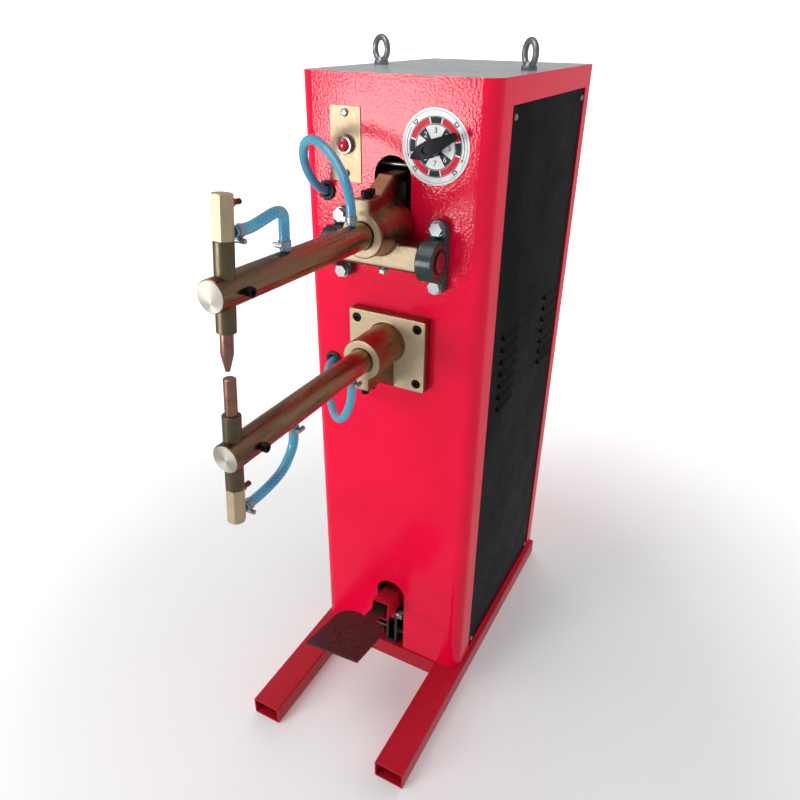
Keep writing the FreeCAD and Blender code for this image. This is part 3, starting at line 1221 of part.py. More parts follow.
# ================================================================ build
def build_root():
    """Everything that stands still."""
    export("base_rails", base_rails())
    export("base_crossbars", base_crossbars())
    export("front_shell", front_shell())
    frame = side_frame()
    export("side_frames", [frame, mirrored(frame)])
    panel = side_panel()
    export("side_panels", [panel, mirrored(panel)])
    export("back_panel", back_panel())
    export("top_cover", top_cover())
    export("cabinet_screws", cabinet_screws())
    export("eyebolts", [eyebolt(-EYEBOLT_X, -25.0), eyebolt(EYEBOLT_X, -43.0)])
    export("lamp_plate", lamp_plate())
    export("lamp_holder", lamp_holder())
    export("lamp_lens", lamp_lens())
    export("dial_plate", dial_plate())
    export("tap_switch", tap_switch())
    export("hose_grommets", hose_grommets())
    block = pillow_block()
    export("pillow_blocks", centred([block, mirrored(block)]))
    insert = bearing_insert()
    export("bearing_inserts", centred([insert, mirrored(insert)]))
    export("pillow_bolts", centred(pillow_bolts()))
    export("lower_flange", centred(lower_flange()))
    export("lower_cap_screws", centred(lower_cap_screws()))
    export("transformer_core", transformer_core())
    export("transformer_coil", transformer_coil())
    export("secondary_turn", secondary_turn())
    export("inner_shelves", inner_shelves())
    export("stop_rod", centred(stop_rod()))
    export("flexible_strap", centred(flexible_strap()))
    export("contactor", contactor())
    export("rear_fittings", rear_fittings())
    export("rod_guide", centred(rod_guide()))
    export("pedal_pivot", centred(pedal_pivot()))
    export("trigger_switch", centred(trigger_switch()))


def build_lower_arm():
    """Fixed arm with its electrode and hoses, and the fixed end of the upper rear hose."""
    barbs = [(LOWER_FRONT_BARB_Y, -1.0), (LOWER_REAR_BARB_Y, -1.0)]
    export("lower_arm", centred(arm(LOWER_ARM_FRONT, LOWER_ARM_REAR, LOWER_ARM_Z, barbs)))
    export("lower_electrode_holder", centred(leaned(electrode_holder(LOWER_ARM_Z))))
    export("lower_electrode_head", centred(leaned(electrode_head(LOWER_HEAD_BASE, -1.0))))
    export("lower_electrode_tip", centred(leaned(lower_tip())))
    nozzles, root, direction = head_barbs(LOWER_HEAD_BASE, -1.0, NOZZLE_TURN)
    down = V(0, 0, -1)
    for y, side in barbs:
        nozzles.append(barb(V(0, y, LOWER_ARM_Z - ARM_R + 4.0), down))
    export("lower_nozzles", centred(nozzles))
    clamps = [hose_clamp(root + direction * CLAMP_AT, direction, V(0, 0, -1))]
    clamps.append(hose_clamp(V(0, LOWER_FRONT_BARB_Y, LOWER_ARM_Z - ARM_R + 4.0 - CLAMP_AT), down, X_AXIS))
    clamps.append(hose_clamp(V(0, LOWER_REAR_BARB_Y, LOWER_ARM_Z - ARM_R + 4.0 - CLAMP_AT), down, X_AXIS))
    loose = arm_barb_end(UPPER_REAR_BARB_Y, UPPER_ARM_Z, 1.0, 0.5, LOOSE_GAP)
    direction_up = loose[1] - loose[0]
    direction_up.normalize()
    clamps.append(hose_clamp(loose[0] + direction_up * (CLAMP_AT - BARB_BASE), direction_up, V(-1, 0, 0)))
    export("fixed_hose_clamps", centred(clamps))
    front = arm_barb_end(LOWER_FRONT_BARB_Y, LOWER_ARM_Z, -1.0)
    export("lower_front_hose", centred(hose(route(head_barb_end(root, direction), LOWER_FRONT_HOSE, front[::-1]),
                                            (HOSE_BORE_R, HOSE_BORE_R))))
    shift = V(CENTRE_X, 0, 0)
    start = [point + shift for point in arm_barb_end(LOWER_REAR_BARB_Y, LOWER_ARM_Z, -1.0)]
    export("lower_rear_hose", hose(route(start, LOWER_REAR_HOSE, rear_barb_end(REAR_BARB_LOWER_Z)),
                                   (HOSE_BORE_R, HOSE_BORE_R)))
    start = [point + shift for point in loose]
    export("upper_rear_hose", hose(route(start, UPPER_REAR_HOSE, rear_barb_end(REAR_BARB_UPPER_Z)),
                                   (LOOSE_BORE_R, HOSE_BORE_R)))


def build_rocker():
    """Everything that swings with the upper arm."""
    def place(shapes):
        solids = shapes if isinstance(shapes, list) else [shapes]
        return centred([swung_open(solid) for solid in solids])

    export("rocker_casting", place(rocker_casting()))
    export("rocker_shaft", place(rocker_shaft()))
    export("rear_lever", place(rear_lever()))
    export("rocker_cap_screws", place(rocker_cap_screws()))
    export("shaft_lock_bolt", place(shaft_lock_bolt()))
    barbs = [(UPPER_FRONT_BARB_Y, 1.0), (UPPER_REAR_BARB_Y, 1.0)]
    export("upper_arm", place(arm(UPPER_ARM_FRONT, UPPER_ARM_REAR, UPPER_ARM_Z, barbs)))
    export("upper_electrode_holder", place(leaned(electrode_holder(UPPER_HOLDER_Z))))
    export("upper_electrode_head", place(leaned(electrode_head(UPPER_HEAD_BASE, 1.0))))
    export("upper_electrode_tip", place(leaned(upper_tip())))
    nozzles, root, direction = head_barbs(UPPER_HEAD_BASE, 1.0, NOZZLE_TURN)
    nozzles.append(barb(V(0, UPPER_FRONT_BARB_Y, UPPER_ARM_Z + ARM_R - 4.0), Z_AXIS))
    nozzles.append(barb(V(0, UPPER_REAR_BARB_Y, UPPER_ARM_Z + ARM_R - 4.0), Z_AXIS, length=OPEN_BARB_LENGTH))
    export("upper_nozzles", place(nozzles))
    clamps = [hose_clamp(root + direction * CLAMP_AT, direction, V(0, 0, -1))]
    clamps.append(hose_clamp(V(0, UPPER_FRONT_BARB_Y, UPPER_ARM_Z + ARM_R - 4.0 + CLAMP_AT), Z_AXIS, V(0, -1, 0)))
    export("upper_hose_clamps", place(clamps))
    rear = arm_barb_end(UPPER_FRONT_BARB_Y, UPPER_ARM_Z, 1.0)
    export("upper_front_hose", place(hose(route(head_barb_end(root, direction), UPPER_FRONT_HOSE, rear[::-1]),
                                          (HOSE_BORE_R, HOSE_BORE_R))))


def build_movers():
    """Pedal, rods, springs, knob and plunger."""
    export("pedal_arm", centred(pedal_arm()))
    export("pedal_tread", centred(pedal_tread()))
    export("lower_rod", centred(lower_rod()))
    export("push_rod", centred(push_rod()))
    export("pressure_spring", centred(coil_spring(ROD_SOCKET_TOP, PRESSURE_SPRING_TOP, 15.0, 2.5, 7)))
    export("return_spring", centred(coil_spring(RETURN_SPRING_BOTTOM, GUIDE_Z, 13.0, 1.8, 8)))
    export("tap_knob", tap_knob())
    export("trigger_plunger", centred(trigger_plunger()))


os.makedirs("parts", exist_ok=True)
build_root()
build_lower_arm()
build_rocker()
build_movers()
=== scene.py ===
"""Looks of the foot-operated spot welder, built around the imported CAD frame."""

import json
import math

import bmesh
import bpy
from mathutils import Matrix, Vector


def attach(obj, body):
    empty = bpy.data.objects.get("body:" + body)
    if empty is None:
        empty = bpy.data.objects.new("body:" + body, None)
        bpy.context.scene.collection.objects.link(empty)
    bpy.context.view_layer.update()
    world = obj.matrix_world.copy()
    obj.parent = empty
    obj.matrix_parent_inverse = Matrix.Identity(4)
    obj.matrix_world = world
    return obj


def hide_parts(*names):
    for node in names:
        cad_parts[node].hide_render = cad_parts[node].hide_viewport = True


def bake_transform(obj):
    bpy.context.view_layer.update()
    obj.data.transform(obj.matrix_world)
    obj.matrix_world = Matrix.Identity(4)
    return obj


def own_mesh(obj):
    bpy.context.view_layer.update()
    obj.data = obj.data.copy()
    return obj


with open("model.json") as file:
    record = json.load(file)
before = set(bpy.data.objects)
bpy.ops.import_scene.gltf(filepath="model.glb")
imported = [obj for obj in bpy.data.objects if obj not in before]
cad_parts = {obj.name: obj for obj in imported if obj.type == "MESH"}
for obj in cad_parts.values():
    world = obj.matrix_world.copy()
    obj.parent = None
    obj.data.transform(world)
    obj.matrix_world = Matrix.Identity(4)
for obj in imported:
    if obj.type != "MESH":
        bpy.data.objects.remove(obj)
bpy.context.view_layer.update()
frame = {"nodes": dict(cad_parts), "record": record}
NODES = frame["nodes"]
MM = 0.001
SCENE = bpy.context.scene

# ------------------------------------------------------------ shared dimensions (mm)
CENTRE_X = 2.0
CABINET_TOP = 1195.0
PIVOT = Vector((0.0, -33.3, 942.0))
OPEN_ANGLE = 1.56
ARM_R = 20.0
UPPER_ARM_Z = 982.0
LOWER_ARM_Z = 784.0
MEET = Vector((0.0, -402.0, 886.0))
LEAN = Matrix.Rotation(math.radians(-4.3), 4, Vector((1.0, -0.25, 0.0)).normalized())
HEAD_FACE = 11.0
DIAL = Vector((73.0, 0.0, 1101.0))
DIAL_R = 54.0
LAMP = Vector((-79.5, 0.0, 1093.0))
HOSE_R = 7.0
ARM_SPREAD = 101.0
BARB_BASE = 5.0
FIRST_RUN = 24.0
NOZZLE_TURN = 90.0
UPPER_HEAD_BARB_Z = 1047.0
LOWER_HEAD_BARB_Z = 692.0
UPPER_FRONT_BARB_Y = -279.5
UPPER_REAR_BARB_Y = -122.0
LOWER_FRONT_BARB_Y = -288.0
LOWER_REAR_BARB_Y = -131.0
LOOSE_GAP = 1.6
GROMMET_X = -119.0
BULKHEAD_END_Y = 470.0
UPPER_BULKHEAD_Z = 980.0
LOWER_BULKHEAD_Z = 684.0
PEDAL_BOLT = Vector((0.0, 18.0, 118.0))
PEDAL_END = Vector((0.0, -47.0, 183.4))
PEDAL_PITCH = 11.5
TREAD_X = (-63.0, 45.0)
TREAD_Y = (-160.0, -60.0)


def swing(share=1.0):
    """Turn from the closed position towards the open rest pose, in millimetres."""
    turn = Matrix.Rotation(math.radians(-OPEN_ANGLE * share), 4, "X")
    return Matrix.Translation(PIVOT) @ turn @ Matrix.Translation(-PIVOT)


# ------------------------------------------------------------ camera
CAMERA_AT = Vector((520.0, -945.0, 1259.0))
CAMERA_AZIMUTH = 27.92
CAMERA_ELEVATION = 28.97
CAMERA_ROLL = 0.69
CAMERA_LENS = 30.69


def add_camera():
    """Camera at the photographed viewing angle."""
    az = math.radians(CAMERA_AZIMUTH)
    el = math.radians(CAMERA_ELEVATION)
    roll = math.radians(CAMERA_ROLL)
    back = Vector((math.sin(az) * math.cos(el), -math.cos(az) * math.cos(el), math.sin(el)))
    right = (-back).cross(Vector((0, 0, 1))).normalized()
    up = back.cross(right)
    right_rolled = right * math.cos(roll) + up * math.sin(roll)
    up_rolled = up * math.cos(roll) - right * math.sin(roll)
    data = bpy.data.cameras.new("camera")
    data.lens = CAMERA_LENS
    data.sensor_width = 36.0
    data.clip_start = 0.01
    camera = bpy.data.objects.new("camera", data)
    SCENE.collection.objects.link(camera)
    turn = Matrix((right_rolled, up_rolled, back)).transposed().to_4x4()
    camera.matrix_world = Matrix.Translation(CAMERA_AT * MM) @ turn
    SCENE.camera = camera


add_camera()


# ------------------------------------------------------------ mesh helpers
def new_object(name, mesh, material=None, smooth=None):
    """Link a mesh as an object in the row frame."""
    obj = bpy.data.objects.new(name, mesh)
    SCENE.collection.objects.link(obj)
    if material is not None:
        mesh.materials.append(material)
    if smooth is not None:
        shade(obj, smooth)
    return obj


def shade(obj, degrees):
    """Smooth shading with edges sharper than the angle kept."""
    obj.data.shade_smooth()
    obj.data.set_sharp_from_angle(angle=math.radians(degrees))


def mesh_from(name, verts, faces, uvs=None):
    """Mesh from vertices in millimetres; uvs are per vertex."""
    mesh = bpy.data.meshes.new(name)
    mesh.from_pydata([tuple(Vector(v) * MM) for v in verts], [], faces)
    if uvs is not None:
        layer = mesh.uv_layers.new(name="UVMap")
        for loop in mesh.loops:
            layer.data[loop.index].uv = uvs[loop.vertex_index]
    mesh.validate()
    return mesh


# ------------------------------------------------------------ node helper
class Tree:
    """Short-hand for building a material's node tree."""

    def __init__(self, name):
        self.material = bpy.data.materials.new(name)
        self.material.use_nodes = True
        self.nodes = self.material.node_tree.nodes
        self.links = self.material.node_tree.links
        self.nodes.clear()
        self.out = self.nodes.new("ShaderNodeOutputMaterial")
        self.bsdf = self.nodes.new("ShaderNodeBsdfPrincipled")
        self.links.new(self.bsdf.outputs[0], self.out.inputs[0])
        self.coords = self.nodes.new("ShaderNodeTexCoord")

    def set(self, **values):
        """Fixed values on the shader's own sockets."""
        for key, value in values.items():
            self.bsdf.inputs[key.replace("_", " ")].default_value = value

    def add(self, kind, **inputs):
        """Node with some inputs or attributes set, or inputs linked."""
        node = self.nodes.new("ShaderNode" + kind)
        for key, value in inputs.items():
            self.feed(node, key, value)
        return node

    def feed(self, node, key, value):
        """Set an attribute, an input value or a link."""
        if hasattr(node, key) and not isinstance(value, bpy.types.NodeSocket):
            setattr(node, key, value)
            return
        by_number = key[0] == "i" and key[1:].isdigit()
        slot = node.inputs[int(key[1:]) if by_number else key.replace("_", " ")]
        if isinstance(value, bpy.types.NodeSocket):
            self.links.new(value, slot)
        else:
            slot.default_value = value

    def noise(self, scale, detail=4.0, rough=0.5, distortion=0.0, source=None, stretch=None):
        """Noise value in object space (scale per metre)."""
        vector = source or self.coords.outputs["Object"]
        if stretch is not None:
            vector = self.add("Mapping", Vector=vector, Scale=stretch).outputs[0]
        node = self.add("TexNoise", Vector=vector, Scale=scale, Detail=detail, Roughness=rough,
                        Distortion=distortion)
        return node.outputs[0]

    def ramp(self, value, stops):
        """Colour ramp from (position, colour) stops."""
        node = self.nodes.new("ShaderNodeValToRGB")
        self.links.new(value, node.inputs[0])
        elements = node.color_ramp.elements
        while len(elements) < len(stops):
            elements.new(0.5)
        for element, (position, colour) in zip(elements, stops):
            element.position = position
            element.color = colour if len(colour) == 4 else (*colour, 1.0)
        return node.outputs[0]

    def math(self, operation, a, b=0.0, clamp=False):
        """Math node."""
        node = self.nodes.new("ShaderNodeMath")
        node.operation = operation
        node.use_clamp = clamp
        self.feed(node, "i0", a)
        self.feed(node, "i1", b)
        return node.outputs[0]

    def mix(self, factor, a, b):
        """Colour mix."""
        node = self.nodes.new("ShaderNodeMix")
        node.data_type = "RGBA"
        for index, value in ((0, factor), (6, a), (7, b)):
            if isinstance(value, bpy.types.NodeSocket):
                self.links.new(value, node.inputs[index])
            else:
                node.inputs[index].default_value = value if index == 0 or len(value) == 4 else (*value, 1.0)
        return node.outputs[2]

    def range(self, value, low, high, to_low=0.0, to_high=1.0):
        """Map range, clamped."""
        node = self.add("MapRange", Value=value)
        for index, number in ((1, low), (2, high), (3, to_low), (4, to_high)):
            node.inputs[index].default_value = number
        return node.outputs[0]

    def bump(self, height, strength, distance, normal=None):
        """Bump chained on an earlier normal."""
        node = self.add("Bump", Height=height, Strength=strength, Distance=distance)
        if normal is not None:
            self.links.new(normal, node.inputs["Normal"])
        return node.outputs[0]

    def link(self, socket, value):
        """Drive one of the shader's inputs."""
        self.links.new(value, self.bsdf.inputs[socket])


def vary(colour, amount):
    """Slightly darker and lighter versions of a colour."""
    return [tuple(max(0.0, min(1.0, c * (1 + s * amount))) for c in colour) for s in (-1, 1)]


# ------------------------------------------------------------ materials
def paint(name, colour, peel=0.10, wave=0.0, shine=0.3, roughness=0.22, dust=0.03, peel_scale=260.0,
          scuff=None):
    """Gloss enamel on sheet steel: orange peel, sheet waviness, handling dust and, if asked, scuffs."""
    t = Tree(name)
    dark, light = vary(colour, 0.06)
    tone = t.ramp(t.noise(7.0, 3.0), [(0.3, dark), (0.7, light)])
    if scuff is not None:
        marks = t.noise(30.0, 8.0, 0.75, 0.0, None, (1.0, 0.25, 1.0))
        tone = t.mix(t.range(marks, 0.60, 0.72, 0.0, 0.6), tone, scuff)
    t.link("Base Color", tone)
    t.link("Roughness", t.range(t.noise(24.0, 6.0, 0.65), 0.35, 0.75, roughness, roughness + dust))
    normal = t.bump(t.noise(peel_scale, 2.0, 0.4), peel, 0.001)
    if wave:
        normal = t.bump(t.noise(5.0, 1.0, 0.3), wave, 0.03, normal)
    t.link("Normal", normal)
    t.set(Specular_IOR_Level=shine)
    return t.material


def metal(name, colour, roughness=0.3, grain=None, grain_scale=900.0, bump=0.05, spots=0.0, second=None,
          metallic=1.0):
    """Metal with soft tone changes, optional lathe or mill grain and tarnish."""
    t = Tree(name)
    dark, light = vary(colour, 0.10)
    tone = t.ramp(t.noise(30.0, 5.0, 0.6), [(0.3, dark), (0.7, light)])
    if second is not None:
        mask = t.range(t.noise(40.0, 6.0, 0.7, 0.6), 0.50, 0.66, 0.0, spots)
        tone = t.mix(mask, tone, second)
    t.link("Base Color", tone)
    fine = t.noise(grain_scale, 3.0, 0.6, 0.0, None, grain or (1.0, 1.0, 1.0))
    t.link("Roughness", t.range(fine, 0.3, 0.7, roughness * 0.8, roughness * 1.25))
    t.link("Normal", t.bump(fine, bump, 0.0004))
    t.set(Metallic=metallic)
    return t.material


def facing_front(t, low, high):
    """1 where the surface faces the operator squarely, 0 elsewhere."""
    split = t.add("SeparateXYZ", Vector=t.coords.outputs["Normal"])
    return t.range(t.math("MULTIPLY", split.outputs[1], -1.0), low, high)


def cast(name, colour, second, roughness=0.42, pit=0.35, metallic=1.0, machined=None):
    """Sand-cast surface: pitting, unevenness and tarnish, with pale machined front faces if asked."""
    t = Tree(name)
    dark, light = vary(colour, 0.16)
    tone = t.ramp(t.noise(45.0, 7.0, 0.65, 0.4), [(0.28, dark), (0.72, light)])
    tone = t.mix(t.range(t.noise(22.0, 6.0, 0.7, 1.2), 0.50, 0.70, 0.0, 0.75), tone, second)
    rough = t.range(t.noise(160.0, 4.0, 0.6), 0.3, 0.7, roughness * 0.75, roughness * 1.3)
    if machined is not None:
        front = facing_front(t, 0.90, 0.985)
        stops = [(0.3, vary(machined, 0.10)[0]), (0.7, vary(machined, 0.08)[1])]
        pale = t.ramp(t.noise(110.0, 6.0, 0.6), stops)
        tone = t.mix(front, tone, pale)
        rough = t.math("ADD", rough, t.math("MULTIPLY", front, 0.15))
        t.link("Metallic", t.range(front, 0.0, 1.0, metallic, 0.35))
    else:
        t.set(Metallic=metallic)
    t.link("Base Color", tone)
    t.link("Roughness", rough)
    normal = t.bump(t.noise(420.0, 5.0, 0.7), pit, 0.0007)
    normal = t.bump(t.noise(90.0, 3.0, 0.5), 0.22, 0.002, normal)
    t.link("Normal", normal)
    return t.material


def arm_metal(name, colour, tarnish, disc):
    """Turned brass bar: fine grain in roughness and bump, light and dark bands along the bar painted as
    reflections, tarnish patches, and a pale turned end whose colour carries a painted highlight.
    """
    t = Tree(name)
    dark, light = vary(colour, 0.14)
    # Light and dark bands along the bar are painted reflection bands.
    along = t.noise(60.0, 6.0, 0.65, 0.3, None, (1.0, 0.05, 1.0))
    tone = t.ramp(along, [(0.38, dark), (0.60, light)])
    streaks = t.noise(34.0, 6.0, 0.7, 0.5, None, (1.0, 0.10, 1.0))
    tone = t.mix(t.range(streaks, 0.46, 0.60, 0.0, 0.85), tone, tarnish)
    split = t.add("SeparateXYZ", Vector=t.coords.outputs["Object"])
    across = t.math("SUBTRACT", split.outputs[0], CENTRE_X * MM)
    split_z = t.math("SUBTRACT", split.outputs[2], 0.5 * (UPPER_ARM_Z + LOWER_ARM_Z) * MM)
    upper = t.math("SUBTRACT", t.math("ABSOLUTE", split_z), ARM_SPREAD * MM)
    front = facing_front(t, 0.93, 0.99)
    # Painted highlight on the turned end: two bright opposite sectors by angle round the bar's axis, plus
    # fine rings, mapped onto shaded and lit copies of the end colour.
    turn = t.math("ARCTAN2", across, upper)
    squares = t.math("ADD", t.math("MULTIPLY", across, across), t.math("MULTIPLY", upper, upper))
    radius = t.math("SQRT", squares)
    painted_highlight = t.math("COSINE", t.math("MULTIPLY", t.math("ADD", turn, 0.45), 2.0))
    rings = t.noise(1.0, 3.0, 0.6, 0.0, t.add("CombineXYZ", X=t.math("MULTIPLY", radius, 900.0)).outputs[0])
    painted_highlight = t.math("ADD", t.math("MULTIPLY", painted_highlight, 0.36), rings)
    shine = t.ramp(painted_highlight, [(0.15, vary(disc, 0.30)[0]), (0.50, disc), (0.85, vary(disc, 0.50)[1])])
    t.link("Base Color", t.mix(front, tone, shine))
    fine = t.noise(1100.0, 3.0, 0.6, 0.0, None, (0.08, 1.0, 0.08))
    t.link("Roughness", t.math("ADD", t.range(fine, 0.3, 0.7, 0.20, 0.34), t.math("MULTIPLY", front, 0.16)))
    t.link("Normal", t.bump(fine, 0.10, 0.0004))
    t.link("Metallic", t.range(front, 0.0, 1.0, 1.0, 0.30))
    return t.material


def plastic(name, colour, roughness=0.4, bump=0.08, scale=700.0, coat=0.0, shine=0.5):
    """Moulded plastic, bakelite, printing ink or rubber."""
    t = Tree(name)
    dark, light = vary(colour, 0.12)
    t.link("Base Color", t.ramp(t.noise(60.0, 4.0), [(0.3, dark), (0.7, light)]))
    t.link("Roughness", t.range(t.noise(90.0, 5.0), 0.3, 0.7, roughness * 0.85, roughness * 1.15))
    t.link("Normal", t.bump(t.noise(scale, 3.0), bump, 0.0004))
    t.set(Coat_Weight=coat, Specular_IOR_Level=shine)
    return t.material


def bearing_metal():
    """Ball bearing insert: steel rings with a dark seal between them, by distance from the shaft."""
    t = Tree("bearing_steel")
    split = t.add("SeparateXYZ", Vector=t.coords.outputs["Object"])
    dy = t.math("SUBTRACT", split.outputs[1], PIVOT.y * MM)
    dz = t.math("SUBTRACT", split.outputs[2], PIVOT.z * MM)
    distance = t.math("SQRT", t.math("ADD", t.math("MULTIPLY", dy, dy), t.math("MULTIPLY", dz, dz)))
    seal = t.math("MULTIPLY", t.range(distance, 0.0150, 0.0152), t.range(distance, 0.0215, 0.0213))
    steel = t.ramp(t.noise(120.0, 5.0), [(0.3, (0.34, 0.31, 0.30)), (0.7, (0.46, 0.43, 0.42))])
    t.link("Base Color", t.mix(seal, steel, (0.030, 0.012, 0.012)))
    t.link("Metallic", t.math("SUBTRACT", 1.0, seal))
    t.link("Roughness", t.range(t.noise(300.0, 3.0), 0.3, 0.7, 0.24, 0.36))
    t.link("Normal", t.bump(t.noise(700.0, 3.0), 0.05, 0.0004))
    return t.material


MATS = {
    "cabinet_red": paint("cabinet_red", (0.82, 0.001, 0.040), 0.45, 0.06, 0.38, 0.10),
    "rail_red": paint("rail_red", (0.48, 0.010, 0.026), 0.40, 0.0, 0.26, 0.24, 0.14, 260.0,
                      (0.36, 0.05, 0.055)),
    # Grey for the top face of the cover is a painted reflection of the pale surroundings seen at a grazing
    # angle.
    "top_painted_reflection": paint("top_painted_reflection", (0.56, 0.58, 0.56), 0.25, 0.0, 0.5, 0.14, 0.10, 200.0),
    "panel_black": paint("panel_black", (0.0040, 0.0038, 0.0038), 0.5, 0.25, 0.015, 0.24, 0.12),
    "zinc": metal("zinc", (0.40, 0.42, 0.44), 0.34, None, 700.0, 0.08, 0.6, (0.22, 0.23, 0.25), 0.80),
    "forged_grey": cast("forged_grey", (0.30, 0.32, 0.34), (0.20, 0.22, 0.24), 0.38, 0.25),
    "plate_brass": metal("plate_brass", (0.42, 0.32, 0.20), 0.42, (1.0, 1.0, 0.06), 1200.0, 0.10, 0.3,
                         (0.36, 0.27, 0.17), 0.7),
    "chrome": metal("chrome", (0.36, 0.33, 0.31), 0.26, None, 900.0, 0.10, 0.6, (0.16, 0.13, 0.12)),
    "dial_white": plastic("dial_white", (0.76, 0.79, 0.77), 0.40, 0.02),
    "switch_plastic": plastic("switch_plastic", (0.03, 0.03, 0.032), 0.45),
    "rubber_black": plastic("rubber_black", (0.014, 0.015, 0.016), 0.50, 0.15),
    "cast_green": cast("cast_green", (0.020, 0.044, 0.040), (0.012, 0.026, 0.024), 0.26, 0.22, 0.0),
    "bearing_steel": bearing_metal(),
    "cast_brass": cast("cast_brass", (0.32, 0.175, 0.095), (0.19, 0.088, 0.052), 0.34, 0.30, 1.0,
                       (0.56, 0.44, 0.28)),
    "polished_brass": arm_metal("polished_brass", (0.400, 0.235, 0.130), (0.190, 0.085, 0.055),
                                (0.42, 0.385, 0.33)),
    "head_brass": metal("head_brass", (0.52, 0.41, 0.26), 0.40, (1.0, 1.0, 0.06), 900.0, 0.08, 0.5,
                        (0.42, 0.31, 0.19), 0.45),
    "holder_brass": metal("holder_brass", (0.150, 0.118, 0.066), 0.38, (1.0, 1.0, 0.05), 800.0, 0.10, 0.5,
                          (0.095, 0.072, 0.040), 0.75),
    "turned_brass": metal("turned_brass", (0.30, 0.14, 0.085), 0.26, None, 900.0, 0.05, 0.4,
                          (0.19, 0.085, 0.055)),
    "copper": metal("copper", (0.46, 0.23, 0.185), 0.28, (1.0, 1.0, 0.04), 900.0, 0.10, 0.5,
                    (0.20, 0.085, 0.070)),
    "black_screw": metal("black_screw", (0.022, 0.022, 0.026), 0.34, None, 600.0, 0.10),
    "lamination": metal("lamination", (0.12, 0.12, 0.13), 0.45, (1.0, 40.0, 1.0), 60.0, 0.30),
    "coil_tape": plastic("coil_tape", (0.70, 0.62, 0.42), 0.65, 0.3, 260.0),
    "shelf_steel": metal("shelf_steel", (0.10, 0.10, 0.105), 0.40),
    "shaft_steel": metal("shaft_steel", (0.44, 0.30, 0.30), 0.24),
    "spring_steel": metal("spring_steel", (0.20, 0.20, 0.21), 0.30),
    "tread_brown": cast("tread_brown", (0.040, 0.018, 0.017), (0.020, 0.011, 0.011), 0.26, 0.30, 0.0),
    "knob_black": plastic("knob_black", (0.008, 0.010, 0.014), 0.42, 0.22, 420.0, 0.0, 0.12),
    "ink_grey": plastic("ink_grey", (0.022, 0.028, 0.032), 0.50, 0.02, 700.0, 0.0, 0.2),
    "ink_black": plastic("ink_black", (0.015, 0.018, 0.020), 0.35, 0.02),
    "ink_red": plastic("ink_red", (0.72, 0.012, 0.045), 0.50, 0.02, 700.0, 0.0, 0.2),
    "ink_deep_red": plastic("ink_deep_red", (0.45, 0.004, 0.012), 0.35, 0.02),
    "ink_green": plastic("ink_green", (0.20, 0.30, 0.28), 0.35, 0.02),
}


def lens_material():
    """Red moulded jewel."""
    t = Tree("lens_red")
    t.link("Base Color", t.ramp(t.noise(300.0), [(0.3, (0.50, 0.0, 0.012)), (0.7, (0.80, 0.01, 0.03))]))
    t.set(Roughness=0.08, Transmission_Weight=0.25, IOR=1.5, Coat_Weight=1.0, Coat_Roughness=0.02)
    return t.material


MATS["lens_red"] = lens_material()


def hose_material():
    """Blue translucent hose with a pale braid just under the surface; UV is turns, metres."""
    t = Tree("hose_blue")
    split = t.add("SeparateXYZ", Vector=t.coords.outputs["UV"])
    around, distance = split.outputs[0], split.outputs[1]
    lines = []
    for sign in (150.0, -150.0):
        phase = t.math("ADD", t.math("MULTIPLY", around, 7.0), t.math("MULTIPLY", distance, sign))
        wave = t.math("ABSOLUTE", t.math("SUBTRACT", t.math("FRACT", phase), 0.5))
        lines.append(t.range(wave, 0.10, 0.02))
    braid = t.math("MAXIMUM", lines[0], lines[1])
    body = t.ramp(t.noise(16.0, 3.0), [(0.3, (0.050, 0.26, 0.50)), (0.7, (0.075, 0.46, 0.60))])
    t.link("Base Color", t.mix(t.math("MULTIPLY", braid, 0.35), body, (0.42, 0.68, 0.82)))
    t.link("Normal", t.bump(braid, 0.12, 0.0004))
    t.set(Roughness=0.20, Transmission_Weight=0.20, IOR=1.45, Coat_Weight=0.6, Coat_Roughness=0.08,
          Subsurface_Weight=0.2, Subsurface_Scale=0.01)
    t.bsdf.inputs["Subsurface Radius"].default_value = (0.3, 0.6, 1.0)
    return t.material


MATS["hose_blue"] = hose_material()


# ------------------------------------------------------------ hoses
UPPER_FRONT_HOSE = [(4.0, -328.0, 1048.0), (8.0, -303.0, 1056.0), (3.0, -282.0, 1050.0)]
UPPER_REAR_HOSE = [(-9.0, -113.0, 1057.0), (-28.0, -101.0, 1078.0), (-55.0, -86.0, 1096.0),
                   (-91.0, -69.0, 1109.0), (-121.0, -54.0, 1101.0), (-131.0, -46.0, 1075.0),
                   (-126.0, -38.0, 1047.0), (-119.0, -17.0, 1021.0), (-119.0, 22.0, 1017.0),
                   (-119.0, 95.0, 1000.0), (-119.0, 205.0, 972.0), (-119.0, 320.0, 963.0),
                   (-119.0, 400.0, 978.0)]
LOWER_FRONT_HOSE = [(-3.0, -340.0, 693.0), (-3.0, -313.0, 700.0), (-2.0, -293.0, 721.0)]
LOWER_REAR_HOSE = [(-3.0, -134.0, 710.0), (-18.0, -131.0, 683.0), (-46.0, -110.0, 667.0),
                   (-76.0, -80.0, 674.0), (-101.0, -51.0, 693.0), (-118.0, -22.0, 715.0),
                   (-119.0, 22.0, 717.0), (-119.0, 95.0, 704.0), (-119.0, 205.0, 678.0),
                   (-119.0, 320.0, 668.0), (-119.0, 400.0, 681.0)]


def barb_end(root, direction, gap=0.0):
    """First two points of a hose pushed on a barb."""
    start = root + direction * (BARB_BASE + gap)
    return [start, start + direction * FIRST_RUN]


def head_end(z):
    """First two points of the hose on an electrode head, with the electrodes closed."""
    turn = math.radians(NOZZLE_TURN)
    direction = Vector((math.cos(turn), math.sin(turn), 0.0))
    root = Vector((0.0, MEET.y, z)) + direction * HEAD_FACE
    return barb_end(MEET + LEAN @ (root - MEET), LEAN @ direction)


